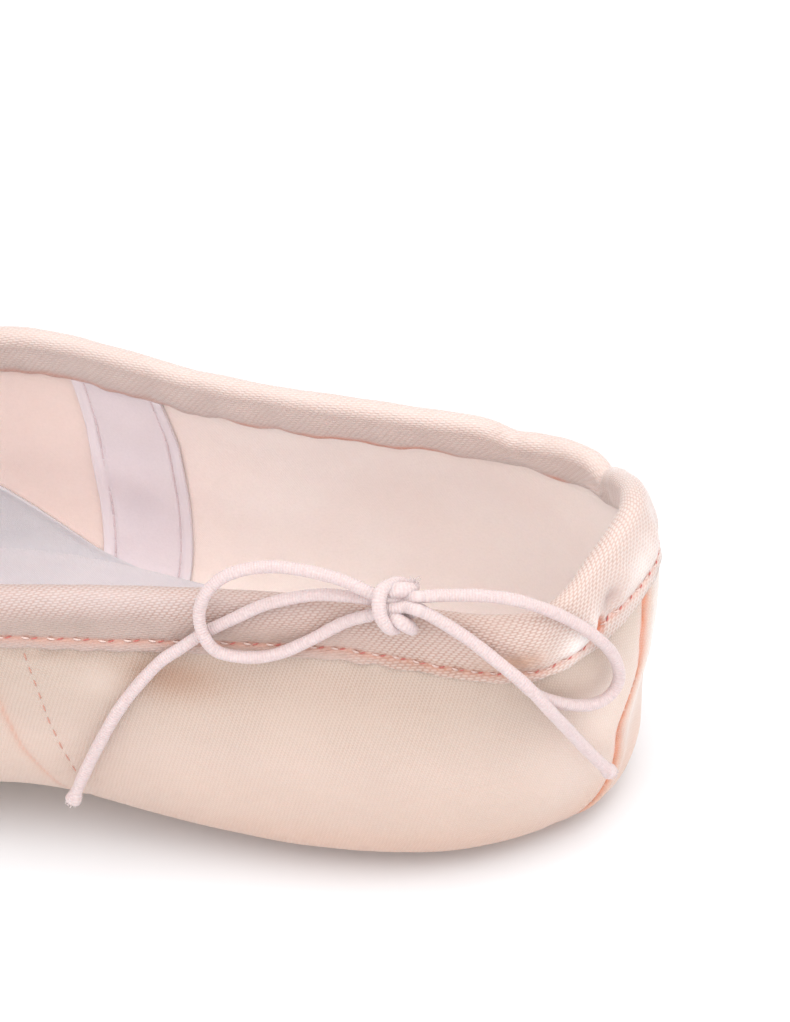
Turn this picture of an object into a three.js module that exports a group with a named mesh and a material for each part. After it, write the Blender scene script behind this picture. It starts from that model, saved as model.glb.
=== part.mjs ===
// Pointe shoe, one shoe, standing empty on its sole. Millimetres, +Z up,
// +X towards the toe, +Y towards the side that carries the bow.
// The origin is on the floor, under the middle of the shoe's length.
import * as THREE from 'three';

// ---------------------------------------------------------------- sizes
const PLATFORM_X = 229;        // plane of the toe platform, from the heel datum
const PLATFORM_TILT = 0.06;    // how far the platform leans back, per mm of height
const PLATFORM_EDGE = 4;       // softness of the platform's edge
const LENGTH_MIDDLE = 115.4;   // middle of the shoe's length, from the heel datum
const OUTSOLE_TOP = 2.2;       // thickness of the leather outsole
const UPPER_BOTTOM = 2.5;      // underside of the upper above the floor
const ARCH_RISE = 6.6, ARCH_FROM = 52.9, ARCH_TO = 160;
const TOE_SPRING = 4, TOE_SPRING_FROM = 182, TOE_SPRING_TO = 228;
const HEEL_SPRING = 1.5, HEEL_SPRING_FROM = 14;
const WALL_QUARTER = 2.0;      // satin, lining and their stiffening
const WALL_BOX = 3.0;          // pasted layers of the toe box
const BINDING_HEIGHT = 10.6;   // drawstring casing round the opening
const BINDING_PROUD = 0.6, BINDING_THICK = 3.2;
const INSOLE_THICK = 1.6;
const GAP = 0.3;
const CORD = 2.1;              // elastic drawstring

// One row for each rib from the back seam (first) round one side to the
// middle of the toe (last). A rib is a vertical half plane that starts on
// the centre line at ox and points along psi (degrees, 0 = toe, 180 = heel).
// rw, zw: reach and height of the widest point; rc, zc: reach and height of
// the opening's edge; lean: how far the wall leans inwards there (degrees).
const LAST = [
  // ox  psi    rw    zw    rc    zc   lean
  [29, 180, 23.3, 25.3, 23.5, 57.6, 28.5],
  [29, 150, 24.5, 24.8, 21.9, 53.9, 23.0],
  [29, 120, 25.9, 24.3, 23.7, 50.0, 20.2],
  [38, 92, 32.4, 21.5, 24.5, 51.3, 17.3],
  [62, 90, 33.6, 19.0, 25.6, 51.9, 14.6],
  [88, 90, 32.9, 20.4, 28.9, 52.4, 17.4],
  [114, 90, 35.3, 21.9, 33.6, 53.2, 20.1],
  [138, 88, 38.0, 22.0, 30.1, 50.2, 35.0],
  [150, 72, 40.8, 19.0, 24.5, 50.0, 55.0],
  [150, 48, 50.5, 16.0, 19.5, 51.0, 68.0],
  [150, 28, 69.5, 15.0, 17.0, 52.0, 74.0],
  [150, 13, 88.0, 15.0, 16.2, 52.5, 76.0],
  [150, 0, 90.0, 15.0, 16.0, 52.5, 77.0],
];
const HEEL_FAN = 2, TOE_FAN = 8;   // ribs up to and from these rows share one origin
const COLUMNS = ['ox', 'psi', 'rw', 'zw', 'rc', 'zc', 'lean'];
// handles of the two curves that make a rib, as parts of their spans
const HANDLE = { floor: 0.64, side: 0.58, rise: 0.41, top: 0.43 };

// ---------------------------------------------------------------- curves
const clamp01 = (a) => Math.min(1, Math.max(0, a));
const mix = (a, b, k) => a + (b - a) * k;

// cubic spline through evenly spaced rows; level at both ends, or free there
function splineRow(y, freeEnds) {
  const n = y.length, a = [], b = [], c = [], d = [];
  for (let i = 0; i < n; i++) { a[i] = 1; b[i] = 4; c[i] = 1; d[i] = 0; }
  for (let i = 1; i < n - 1; i++) d[i] = 6 * (y[i - 1] - 2 * y[i] + y[i + 1]);
  if (freeEnds) { b[0] = 1; c[0] = 0; b[n - 1] = 1; a[n - 1] = 0; }
  else {
    b[0] = 2; c[0] = 1; d[0] = 6 * (y[1] - y[0]);
    b[n - 1] = 2; a[n - 1] = 1; d[n - 1] = -6 * (y[n - 1] - y[n - 2]);
  }
  for (let i = 1; i < n; i++) { const w = a[i] / b[i - 1]; b[i] -= w * c[i - 1]; d[i] -= w * d[i - 1]; }
  const m = new Array(n); m[n - 1] = d[n - 1] / b[n - 1];
  for (let i = n - 2; i >= 0; i--) m[i] = (d[i] - c[i] * m[i + 1]) / b[i];
  return (t) => {
    const u = Math.min(n - 1, Math.max(0, t)), i = Math.min(n - 2, Math.floor(u)), f = u - i, g = 1 - f;
    return g * y[i] + f * y[i + 1] + ((g ** 3 - g) * m[i] + (f ** 3 - f) * m[i + 1]) / 6;
  };
}
const channel = {};
COLUMNS.forEach((name, k) => { channel[name] = splineRow(LAST.map((row) => row[k]), name === 'psi'); });

const cubic = (p0, p1, p2, p3, s) => {
  const g = 1 - s;
  return g * g * g * p0 + 3 * s * g * g * p1 + 3 * s * s * g * p2 + s * s * s * p3;
};

// underside of the upper above the floor: level at heel and ball, raised
// at the arch, with a little spring at both ends
function bottomZ(x) {
  const s = clamp01((x - ARCH_FROM) / (ARCH_TO - ARCH_FROM));
  return UPPER_BOTTOM + ARCH_RISE * Math.sin(Math.PI * s) ** 2
    + TOE_SPRING * clamp01((x - TOE_SPRING_FROM) / (TOE_SPRING_TO - TOE_SPRING_FROM)) ** 2
    + HEEL_SPRING * clamp01((HEEL_SPRING_FROM - x) / HEEL_SPRING_FROM) ** 2;
}

// everything that belongs to one rib
function rib(t) {
  const r = {};
  for (const name of COLUMNS) r[name] = channel[name](t);
  if (t <= HEEL_FAN) r.ox = LAST[0][0];
  if (t >= TOE_FAN) r.ox = LAST[TOE_FAN][0];
  const psi = THREE.MathUtils.degToRad(r.psi);
  r.dx = Math.cos(psi); r.dy = Math.sin(psi);
  if (t <= 0 || t >= LAST.length - 1) r.dy = 0;
  const reach = r.dx > 0.05 ? Math.min(r.rw, (PLATFORM_X - r.ox) / r.dx) : r.rw;
  const margin = Math.min(0.30 * r.rw, 12.2) + 0.8 * clamp01((r.rw - 41) / 40);
  r.rs = reach - margin;                                   // where the underside turns flat
  const waist = Math.exp(-(((t - 4.9) / 1.5) ** 2));
  r.sole = r.rs - 1.5 - 4.0 * waist - 2.0 * clamp01((t - 6) / 2);   // edge of the outsole
  r.open = r.sole - 5.0;                                   // edge of the upper under the foot
  r.zs = bottomZ(r.ox + r.rs * r.dx);
  r.zo = bottomZ(r.ox + r.open * r.dx);
  r.zwide = r.zw + (r.zs - UPPER_BOTTOM) * 0.6;
  r.wall = mix(WALL_QUARTER, WALL_BOX, clamp01((t - 6.4) / 1.4));
  const lean = THREE.MathUtils.degToRad(r.lean), span = Math.hypot(r.rw - r.rc, r.zc - r.zwide);
  const N = 40, line = [];
  for (let i = 0; i <= N; i++) {
    const s = i / N;
    line.push([cubic(r.rs, r.rs + HANDLE.floor * (r.rw - r.rs), r.rw, r.rw, s),
      cubic(r.zs, r.zs, r.zwide - HANDLE.side * (r.zwide - r.zs), r.zwide, s)]);
  }
  for (let i = 1; i <= N; i++) {
    const s = i / N;
    line.push([cubic(r.rw, r.rw, r.rc + Math.sin(lean) * HANDLE.top * span, r.rc, s),
      cubic(r.zwide, r.zwide + HANDLE.rise * (r.zc - r.zwide), r.zc - Math.cos(lean) * HANDLE.top * span, r.zc, s)]);
  }
  // arc length from the opening's edge, and tangents
  const L = line.length, back = new Array(L).fill(0), tan = [];
  for (let i = L - 2; i >= 0; i--) back[i] = back[i + 1] + Math.hypot(line[i + 1][0] - line[i][0], line[i + 1][1] - line[i][1]);
  for (let i = 0; i < L; i++) {
    const a = line[Math.max(0, i - 1)], b = line[Math.min(L - 1, i + 1)], d = Math.hypot(b[0] - a[0], b[1] - a[1]);
    tan.push([(b[0] - a[0]) / d, (b[1] - a[1]) / d]);
  }
  r.length = back[0];
  // point at arc distance d below the opening's edge, moved out by off
  r.at = (d, off) => {
    let i = 0;
    while (i < L - 2 && back[i + 1] > d) i++;
    const f = clamp01((back[i] - d) / Math.max(1e-9, back[i] - back[i + 1]));
    const tr = mix(tan[i][0], tan[i + 1][0], f), tz = mix(tan[i][1], tan[i + 1][1], f), q = Math.hypot(tr, tz);
    return [mix(line[i][0], line[i + 1][0], f) + off * tz / q, mix(line[i][1], line[i + 1][1], f) - off * tr / q];
  };
  return r;
}

// from a rib's own plane to the shoe, with the toe cut flat at the platform
function place(r, p, inset, side) {
  let x = r.ox + p[0] * r.dx;
  const flat = PLATFORM_X - inset - PLATFORM_TILT * (p[1] - 5);
  const h = clamp01(0.5 + 0.5 * (flat - x) / PLATFORM_EDGE);
  x = flat * (1 - h) + x * h - PLATFORM_EDGE * h * (1 - h);
  return [x - LENGTH_MIDDLE, side * p[0] * r.dy, p[1]];
}

// ---------------------------------------------------------------- meshes
// a closed body from lists of corners and faces; corners are rounded to a
// hundredth, equal ones are joined, and faces that close up are left out
class Body {
  constructor() { this.key = new Map(); this.pos = []; this.tri = []; }
  vertex(p) {
    const q = p.map((c) => Math.round(c * 100)), k = q.join(',');
    if (!this.key.has(k)) { this.key.set(k, this.pos.length / 3); this.pos.push(...q.map((c) => c / 100)); }
    return this.key.get(k);
  }
  face(a, b, c) { if (a !== b && b !== c && a !== c) this.tri.push(a, b, c); }
  quad(a, b, c, d) { this.face(a, b, c); this.face(a, c, d); }
  geometry() {
    const g = new THREE.BufferGeometry();
    g.setAttribute('position', new THREE.Float32BufferAttribute(this.pos, 3));
    const t = this.tri; let volume = 0; const v = (i) => this.pos.slice(3 * i, 3 * i + 3);
    for (let i = 0; i < t.length; i += 3) {
      const [a, b, c] = [v(t[i]), v(t[i + 1]), v(t[i + 2])];
      volume += a[0] * (b[1] * c[2] - b[2] * c[1]) - a[1] * (b[0] * c[2] - b[2] * c[0]) + a[2] * (b[0] * c[1] - b[1] * c[0]);
    }
    if (volume < 0) for (let i = 0; i < t.length; i += 3) [t[i + 1], t[i + 2]] = [t[i + 2], t[i + 1]];
    g.setIndex(t); g.computeVertexNormals();
    return g;
  }
}

// the stations round the whole shoe: up one side, back down the other
const STATIONS = [];
for (const t of [0, 0.5, 1, 1.5, 2, 2.5, 3, 3.5, 4, 4.5, 5, 5.5, 6, 6.5, 7, 7.5, 8, 8.35, 8.7, 9, 9.3, 9.6, 9.85, 10.05, 10.25, 10.4, 10.55, 10.7, 10.85, 11, 11.2, 11.45, 11.7, 12]) STATIONS.push(rib(t));
const AROUND = [...STATIONS.map((r) => [r, 1]), ...STATIONS.slice(1, -1).reverse().map((r) => [r, -1])];

// a ring: the same closed section at every station round the shoe
function ringBody(section) {
  const body = new Body();
  const rings = AROUND.map(([r, side]) => section(r).map(([p, inset]) => body.vertex(place(r, p, inset, side))));
  for (let i = 0; i < rings.length; i++) {
    const a = rings[i], b = rings[(i + 1) % rings.length];
    for (let j = 0; j < a.length; j++) { const k = (j + 1) % a.length; body.quad(a[j], a[k], b[k], b[j]); }
  }
  return body.geometry();
}
const spread = (from, to, n) => Array.from({ length: n + 1 }, (_, i) => mix(from, to, i / n));

// upper: satin, lining and box in one hollow wall, open above at the
// drawstring casing and below where the outsole closes it
const WALL_STEPS = [0, 0.03, 0.06, 0.1, 0.155, 0.225, 0.32, 0.44, 0.58, 0.72, 0.86, 1];
const wallArc = (r, k) => mix(r.length, BINDING_HEIGHT + GAP, k);
function upperSection(r) {
  const out = WALL_STEPS.map((k) => [r.at(wallArc(r, k), 0), 0]);
  const inn = WALL_STEPS.map((k) => [r.at(wallArc(r, k), -r.wall), r.wall]).reverse();
  return [[[r.open, r.zo], 0], ...out, ...inn, [[r.open, r.zo + r.wall], r.wall]];
}

// drawstring casing: a folded tape round the opening, with a rolled top
function bindingSection(r) {
  const out = BINDING_PROUD, inn = BINDING_PROUD - BINDING_THICK, mid = (out + inn) / 2, round = BINDING_THICK / 2;
  const s = [];
  for (const d of [BINDING_HEIGHT, 7.6, 4.6, round]) s.push(r.at(d, out));
  const c = r.at(round, mid), e = r.at(round, out), n = [(e[0] - c[0]) / round, (e[1] - c[1]) / round], up = [-n[1], n[0]];
  for (const a of [45, 90, 135]) {
    const q = THREE.MathUtils.degToRad(a);
    s.push([c[0] + round * (Math.cos(q) * n[0] + Math.sin(q) * up[0]), c[1] + round * (Math.cos(q) * n[1] + Math.sin(q) * up[1])]);
  }
  for (const d of [round, 4.6, 7.6, BINDING_HEIGHT]) s.push(r.at(d, inn));
  return s.map((p) => [p, 0]);
}

// a solid sheet that spans the shoe from side to side: lower and upper
// faces from two lists of rib points, the first of each on the centre line
function spanBody(lower, upper) {
  const body = new Body();
  for (const side of [1, -1]) {
    const lo = STATIONS.map((r) => lower(r).map(([p, inset]) => body.vertex(place(r, p, inset, side))));
    const up = STATIONS.map((r) => upper(r).map(([p, inset]) => body.vertex(place(r, p, inset, side))));
    const put = (a, b, c, d) => (side > 0 ? body.quad(a, b, c, d) : body.quad(d, c, b, a));
    for (let i = 0; i < STATIONS.length - 1; i++) {
      const n = lo[i].length - 1;
      for (let j = 0; j < n; j++) {
        put(lo[i][j], lo[i][j + 1], lo[i + 1][j + 1], lo[i + 1][j]);
        put(up[i][j], up[i + 1][j], up[i + 1][j + 1], up[i][j + 1]);
      }
      put(lo[i][n], up[i][n], up[i + 1][n], lo[i + 1][n]);
    }
  }
  return body.geometry();
}

// outsole: thin leather, narrower than the shoe, level under heel and ball
const outsoleFace = (level) => (r) => [...spread(0, r.open, 3), r.sole].map((q) => [[q, bottomZ(r.ox + q * r.dx) + level], 0]);
const outsole = spanBody(outsoleFace(-UPPER_BOTTOM), outsoleFace(OUTSOLE_TOP - UPPER_BOTTOM));

// insole: cotton cover on its board, turned up a little against the walls
const INSOLE_TURN_UP = 2;     // steps of the wall
function insoleFace(lift) {
  return (r) => {
    const off = r.wall + GAP + lift;
    const flat = [...spread(0, r.open, 3), r.rs].map((q) => [[q, bottomZ(r.ox + q * r.dx) + off], off]);
    const wall = WALL_STEPS.slice(1, INSOLE_TURN_UP + 1).map((k) => [r.at(wallArc(r, k), -off), off]);
    return [...flat, ...wall];
  };
}
const insole = spanBody(insoleFace(0), insoleFace(INSOLE_THICK));

// ---------------------------------------------------------------- drawstring
// The elastic leaves the casing at a bow on the +Y side, near the heel.
// Points from the heel datum: x towards the toe, y out of the shoe, z up.
const STRANDS = {
  //                     x     y     z
  drawstring_loop_left: { steps: 21, route: [
    [41.4, 28.4, 57.1], [46.2, 27.4, 58.2], [52.4, 27.4, 59.4], [57.6, 27.8, 59.6], [63.1, 28.8, 58.3],
    [66.4, 30.0, 55.7], [67.8, 31.1, 52.0], [67.1, 32.1, 48.3], [65.0, 32.0, 45.3], [60.6, 31.0, 44.0],
    [56.3, 30.2, 44.6], [51.2, 29.1, 47.1], [45.8, 28.1, 50.5], [41.4, 28.5, 52.9]] },
  drawstring_loop_right: { steps: 25, route: [
    [33.4, 28.2, 57.2], [30.1, 26.5, 56.5], [25.1, 25.5, 56.3], [20.7, 24.4, 55.3], [16.6, 22.6, 52.8],
    [12.5, 20.5, 49.1], [8.8, 18.4, 44.3], [6.8, 16.5, 39.5], [6.2, 15.5, 34.6], [7.3, 16.8, 32.0],
    [9.7, 19.7, 32.0], [13.2, 23.3, 34.6], [16.7, 26.4, 38.5], [19.4, 27.3, 42.1], [23.1, 27.5, 45.8],
    [27.6, 27.3, 49.6], [33.4, 27.7, 53.8]] },
  drawstring_tail_left: { steps: 18, route: [
    [41.7, 26.8, 54.5], [45.8, 26.8, 54.6], [50.0, 27.0, 54.5], [54.4, 27.3, 53.4], [58.7, 28.0, 52.0],
    [63.0, 29.0, 49.8], [67.4, 30.0, 47.3], [71.4, 31.2, 44.5], [74.4, 32.1, 42.3], [77.8, 33.1, 38.3],
    [81.4, 34.3, 33.2], [84.6, 35.0, 27.0], [87.7, 35.5, 20.4], [89.8, 36.0, 15.1]] },
  drawstring_tail_right: { steps: 15, route: [
    [33.2, 29.8, 55.6], [31.2, 29.3, 54.2], [26.9, 29.0, 50.9], [22.0, 29.2, 46.8], [18.1, 28.9, 42.7],
    [14.8, 27.6, 37.0], [12.1, 23.9, 29.2], [9.6, 20.1, 21.6], [7.8, 17.4, 16.5]] },
};
const KNOT = { x: 37.5, y: 28.9, z: 55.6, half: [3.3, 2.3, 4.2] };

function strandGeometry({ steps, route }) {
  const path = new THREE.CatmullRomCurve3(route.map(([x, y, z]) => new THREE.Vector3(x - LENGTH_MIDDLE, y, z)), false, 'catmullrom', 0.5);
  const section = new THREE.Shape(spread(0, 7, 7).map((i) => new THREE.Vector2(
    (CORD / 2) * Math.cos((Math.PI / 4) * i), (CORD / 2) * Math.sin((Math.PI / 4) * i))));
  return new THREE.ExtrudeGeometry(section, { steps, extrudePath: path, bevelEnabled: false });
}
const knot = new THREE.SphereGeometry(1, 14, 10);
knot.scale(...KNOT.half);

// ---------------------------------------------------------------- assembly
const satin = () => new THREE.MeshStandardMaterial({ color: 0xf0cfc0, roughness: 0.42, metalness: 0 });
const shoe = new THREE.Group();
function add(name, geometry, material) {
  const mesh = new THREE.Mesh(geometry, material);
  mesh.name = name; shoe.add(mesh);
  return mesh;
}
add('upper', ringBody(upperSection), satin());
add('collar_binding', ringBody(bindingSection), new THREE.MeshStandardMaterial({ color: 0xeecdbf, roughness: 0.5, metalness: 0 }));
add('outsole', outsole, new THREE.MeshStandardMaterial({ color: 0xd9b89a, roughness: 0.75, metalness: 0 }));
add('insole', insole, new THREE.MeshStandardMaterial({ color: 0xe6dde0, roughness: 0.85, metalness: 0 }));
const elastic = new THREE.MeshStandardMaterial({ color: 0xf3e0dc, roughness: 0.7, metalness: 0 });
add('drawstring_knot', knot, elastic).position.set(KNOT.x - LENGTH_MIDDLE, KNOT.y, KNOT.z);
for (const [name, strand] of Object.entries(STRANDS)) add(name, strandGeometry(strand), elastic.clone());

export default shoe;
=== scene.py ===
import bpy
import math
import numpy as np
from mathutils import Matrix


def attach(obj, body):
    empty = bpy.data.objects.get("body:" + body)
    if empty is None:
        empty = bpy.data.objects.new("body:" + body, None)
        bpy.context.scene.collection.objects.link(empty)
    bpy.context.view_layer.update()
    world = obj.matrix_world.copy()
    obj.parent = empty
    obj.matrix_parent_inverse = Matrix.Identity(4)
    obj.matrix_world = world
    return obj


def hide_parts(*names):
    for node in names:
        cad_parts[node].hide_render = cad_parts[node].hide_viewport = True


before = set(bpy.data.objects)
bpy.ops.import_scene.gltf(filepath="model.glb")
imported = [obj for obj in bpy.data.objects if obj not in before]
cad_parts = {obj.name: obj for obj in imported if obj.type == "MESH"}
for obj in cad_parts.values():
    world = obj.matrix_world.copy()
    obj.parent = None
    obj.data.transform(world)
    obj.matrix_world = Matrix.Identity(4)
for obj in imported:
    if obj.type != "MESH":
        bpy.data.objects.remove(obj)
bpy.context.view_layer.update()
MM = 0.001
XC = 115.4            # the frame's origin, from the heel datum, mm

# ------------------------------------------------------------------ camera
CAM = dict(turn=15.01, rise=38.18, roll=-3.78, dist=838.4, focal_px=5378.4, at=(44.3, 0.0, 50.3))


def add_camera():
    th, ph, ro = (math.radians(CAM[k]) for k in ("turn", "rise", "roll"))
    back = np.array([-math.sin(th) * math.cos(ph), math.cos(th) * math.cos(ph), math.sin(ph)])
    right = np.array([-math.cos(th), -math.sin(th), 0.0])
    up = np.cross(back, right)
    r = right * math.cos(ro) + up * math.sin(ro)
    u = -right * math.sin(ro) + up * math.cos(ro)
    at = np.array([CAM["at"][0] - XC, CAM["at"][1], CAM["at"][2]]) * MM
    eye = at + back * CAM["dist"] * MM
    cam = bpy.data.cameras.new("camera")
    cam.sensor_fit = "HORIZONTAL"
    cam.sensor_width = 36.0
    cam.lens = CAM["focal_px"] / 790 * 36.0
    cam.clip_start, cam.clip_end = 0.01, 20
    ob = bpy.data.objects.new("camera", cam)
    bpy.context.scene.collection.objects.link(ob)
    ob.matrix_world = Matrix([[r[i], u[i], back[i], eye[i]] for i in range(3)] + [[0, 0, 0, 1]])
    bpy.context.scene.camera = ob


add_camera()

# ------------------------------------------------------------------ the last
# rows: ribs from the back seam round one side to the middle of the toe
LAST = np.array([
    # ox  psi    rw    zw    rc    zc   lean
    [29, 180, 23.3, 25.3, 23.5, 57.6, 28.5],
    [29, 150, 24.5, 24.8, 21.9, 53.9, 23.0],
    [29, 120, 25.9, 24.3, 23.7, 50.0, 20.2],
    [38, 92, 32.4, 21.5, 24.5, 51.3, 17.3],
    [62, 90, 33.6, 19.0, 25.6, 51.9, 14.6],
    [88, 90, 32.9, 20.4, 28.9, 52.4, 17.4],
    [114, 90, 35.3, 21.9, 33.6, 53.2, 20.1],
    [138, 88, 38.0, 22.0, 30.1, 50.2, 35.0],
    [150, 72, 40.8, 19.0, 24.5, 50.0, 55.0],
    [150, 48, 50.5, 16.0, 19.5, 51.0, 68.0],
    [150, 28, 69.5, 15.0, 17.0, 52.0, 74.0],
    [150, 13, 88.0, 15.0, 16.2, 52.5, 76.0],
    [150, 0, 90.0, 15.0, 16.0, 52.5, 77.0],
], float)
OX, PSI, RW, ZW, RC, ZC, LEAN = range(7)
TMAX = len(LAST) - 1.0
PLAT, PLAT_TILT, PLAT_EDGE = 229.0, 0.06, 4.0
UPPER_BOTTOM, ARCH, ARCH_A, ARCH_B = 2.5, 6.6, 52.9, 160.0
CASING = 10.6


def row_spline(y, t, free):
    n = len(y)
    A, b = np.zeros((n, n)), np.zeros(n)
    for i in range(1, n - 1):
        A[i, i - 1:i + 2] = 1, 4, 1
        b[i] = 6 * (y[i - 1] - 2 * y[i] + y[i + 1])
    if free:
        A[0, 0] = A[-1, -1] = 1
    else:
        A[0, :2] = 2, 1
        b[0] = 6 * (y[1] - y[0])
        A[-1, -2:] = 1, 2
        b[-1] = -6 * (y[-1] - y[-2])
    m = np.linalg.solve(A, b)
    t = np.clip(t, 0, n - 1)
    i = np.minimum(t.astype(int), n - 2)
    f = t - i
    g = 1 - f
    return g * y[i] + f * y[i + 1] + ((g ** 3 - g) * m[i] + (f ** 3 - f) * m[i + 1]) / 6


def bottom_z(x):
    s = np.clip((x - ARCH_A) / (ARCH_B - ARCH_A), 0, 1)
    return (UPPER_BOTTOM + ARCH * np.sin(np.pi * s) ** 2 + 4.0 * np.clip((x - 182) / 46, 0, 1) ** 2
            + 1.5 * np.clip((14 - x) / 14, 0, 1) ** 2)


class Ribs:
    """The upper's outer surface, one rib for each t."""
    K = 80

    def __init__(self, t, side):
        self.t = t = np.asarray(t, float)
        self.side = np.broadcast_to(np.asarray(side, float), t.shape).copy()
        c = [row_spline(LAST[:, k], t, k == PSI) for k in range(7)]
        self.ox = np.where(t <= 2, 29.0, np.where(t >= 8, 150.0, c[OX]))
        psi = np.radians(c[PSI])
        self.dx, self.dy = np.cos(psi), np.where((t <= 0) | (t >= TMAX), 0.0, np.sin(psi))
        self.rw, self.zc = c[RW], c[ZC]
        reach = np.where(self.dx > 0.05, np.minimum(c[RW], (PLAT - self.ox) / np.maximum(self.dx, 0.05)), c[RW])
        self.rs = reach - (np.minimum(0.30 * c[RW], 12.2) + 0.8 * np.clip((c[RW] - 41) / 40, 0, 1))
        waist = np.exp(-((t - 4.9) / 1.5) ** 2)
        self.sole = self.rs - 1.5 - 4.0 * waist - 2.0 * np.clip((t - 6) / 2, 0, 1)
        self.open = self.sole - 5.0
        self.zs = bottom_z(self.ox + self.rs * self.dx)
        zw = c[ZW] + (self.zs - UPPER_BOTTOM) * 0.6
        self.wall = 2.0 + np.clip((t - 6.4) / 1.4, 0, 1)
        le, span = np.radians(c[LEAN]), np.hypot(c[RW] - c[RC], c[ZC] - zw)

        def bez(p, u):
            p = [q[:, None] for q in p]
            return (1 - u) ** 3 * p[0] + 3 * u * (1 - u) ** 2 * p[1] + 3 * u * u * (1 - u) * p[2] + u ** 3 * p[3]
        u = np.linspace(0, 1, self.K + 1)[None, :]
        rw, rc, zc, rs, zs = c[RW], c[RC], c[ZC], self.rs, self.zs
        lo = (bez((rs, rs + 0.64 * (rw - rs), rw, rw), u), bez((zs, zs, zw - 0.58 * (zw - zs), zw), u))
        up = (bez((rw, rw, rc + np.sin(le) * 0.43 * span, rc), u[:, 1:]),
              bez((zw, zw + 0.41 * (zc - zw), zc - np.cos(le) * 0.43 * span, zc), u[:, 1:]))
        self.r, self.z = np.concatenate([lo[0], up[0]], 1), np.concatenate([lo[1], up[1]], 1)
        seg = np.hypot(np.diff(self.r), np.diff(self.z))
        self.back = np.concatenate([np.cumsum(seg[:, ::-1], 1)[:, ::-1], np.zeros((len(t), 1))], 1)
        self.tr, self.tz = np.gradient(self.r, axis=1), np.gradient(self.z, axis=1)
        q = np.hypot(self.tr, self.tz)
        self.tr, self.tz = self.tr / q, self.tz / q
        self.length = self.back[:, 0]

    def at(self, D, off=0.0, shift=0.0):
        """Points at arc distance D below the opening's edge, off mm outwards.
        D < 0 runs on past the edge; D > length runs flat under the foot."""
        n = len(self.t)
        D = np.broadcast_to(np.asarray(D, float), (n, np.shape(D)[-1]))
        off = np.broadcast_to(np.asarray(off, float), D.shape)
        out = [np.empty(D.shape) for _ in range(4)]
        Dc = np.clip(D, 0, self.length[:, None])
        for i in range(n):
            x = self.back[i, ::-1]
            for o, a in zip(out, (self.r, self.z, self.tr, self.tz)):
                o[i] = np.interp(Dc[i], x, a[i, ::-1])
        r, z, tr, tz = out
        q = np.hypot(tr, tz)
        tr, tz = tr / q, tz / q
        over = np.minimum(D, 0)
        r, z = r - over * tr, z - over * tz
        flat = np.maximum(D - self.length[:, None], 0)
        zf = bottom_z(self.ox[:, None] + (r - flat) * self.dx[:, None]) - self.zs[:, None]
        r, z = r - flat + off * tz, z - off * tr + np.where(flat > 0, zf, 0)
        return self.place(r, z, -off)

    def place(self, r, z, inset):
        x = self.ox[:, None] + r * self.dx[:, None]
        flat = PLAT - inset - PLAT_TILT * (z - 5)
        h = np.clip(0.5 + 0.5 * (flat - x) / PLAT_EDGE, 0, 1)
        x = flat * (1 - h) + x * h - PLAT_EDGE * h * (1 - h)
        y = r * self.dy[:, None] * self.side[:, None]
        return np.stack([x - XC, y, z], -1)


def ring(n):
    """t and side for the stations right round the shoe"""
    t = np.linspace(0, TMAX, n + 1)
    return np.concatenate([t, t[-2:0:-1]]), np.concatenate([np.ones(n + 1), -np.ones(n - 1)])


T_TABLE = np.linspace(0, TMAX, 481)
_walk = Ribs(T_TABLE, 1).at([26.0])[:, 0]
U_TABLE = np.concatenate([[0], np.cumsum(np.linalg.norm(np.diff(_walk, axis=0), axis=1))])
_top = Ribs(T_TABLE, 1).at([1.0])[:, 0]
S_TABLE = np.concatenate([[0], np.cumsum(np.linalg.norm(np.diff(_top, axis=0), axis=1))])


def u_of(t):
    return np.interp(t, T_TABLE, U_TABLE)


def s_of(t):
    return np.interp(t, T_TABLE, S_TABLE)


def t_of_x(x):
    """rib number at a distance from the heel, along the sides"""
    tt = np.linspace(2.2, 7.8, 281)
    return np.interp(x, Ribs(tt, 1).ox, tt)


def gauss(a, w):
    return np.exp(-(a / w) ** 2)


def smooth(a, lo, hi):
    k = np.clip((a - lo) / (hi - lo), 0, 1)
    return k * k * (3 - 2 * k)


def waves(a, b, seed, period, n=9):
    """smooth noise of about unit height from a few seeded plane waves"""
    rng = np.random.default_rng(seed)
    out = 0
    for _ in range(n):
        an, p, ph = rng.uniform(0, 2 * np.pi), period * rng.uniform(0.6, 1.7), rng.uniform(0, 2 * np.pi)
        out = out + np.sin((a * np.cos(an) + b * np.sin(an)) * 2 * np.pi / p + ph)
    return out / math.sqrt(n / 2) * 0.6


def ripples(a, seed, period, n=6):
    rng = np.random.default_rng(seed)
    out = 0
    for _ in range(n):
        p, ph = period * rng.uniform(0.7, 1.5), rng.uniform(0, 2 * np.pi)
        out = out + np.sin(a * 2 * np.pi / p + ph)
    return out / math.sqrt(n / 2) * 0.6


# ------------------------------------------------------------------ seams
# where the side seam and its stitches lie: distance below the opening, mm,
# and distance from the heel, mm
SIDE_SEAM = np.array([(9.0, 102.0), (16.0, 101.4), (22.6, 100.5), (27.3, 99.2), (30.9, 98.0), (34.4, 96.1), (45.0, 91.0), (60.0, 86.0)])
SIDE_STITCH = np.array([(10.8, 96.0), (18.1, 94.4), (24.5, 93.3), (29.7, 91.8), (32.8, 90.7), (37.5, 89.4)])
# the back seam: distance below the opening and distance off the centre line
BACK_SEAM = np.array([(9.0, 5.2), (14.0, 5.0), (18.0, 5.7), (21.0, 6.0), (26.0, 5.9), (28.0, 6.5), (30.0, 8.5), (32.0, 10.6), (34.0, 11.4), (37.0, 11.1), (40.0, 10.7), (43.0, 11.1), (46.0, 13.0), (49.0, 16.5), (53.0, 20.0)])


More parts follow.
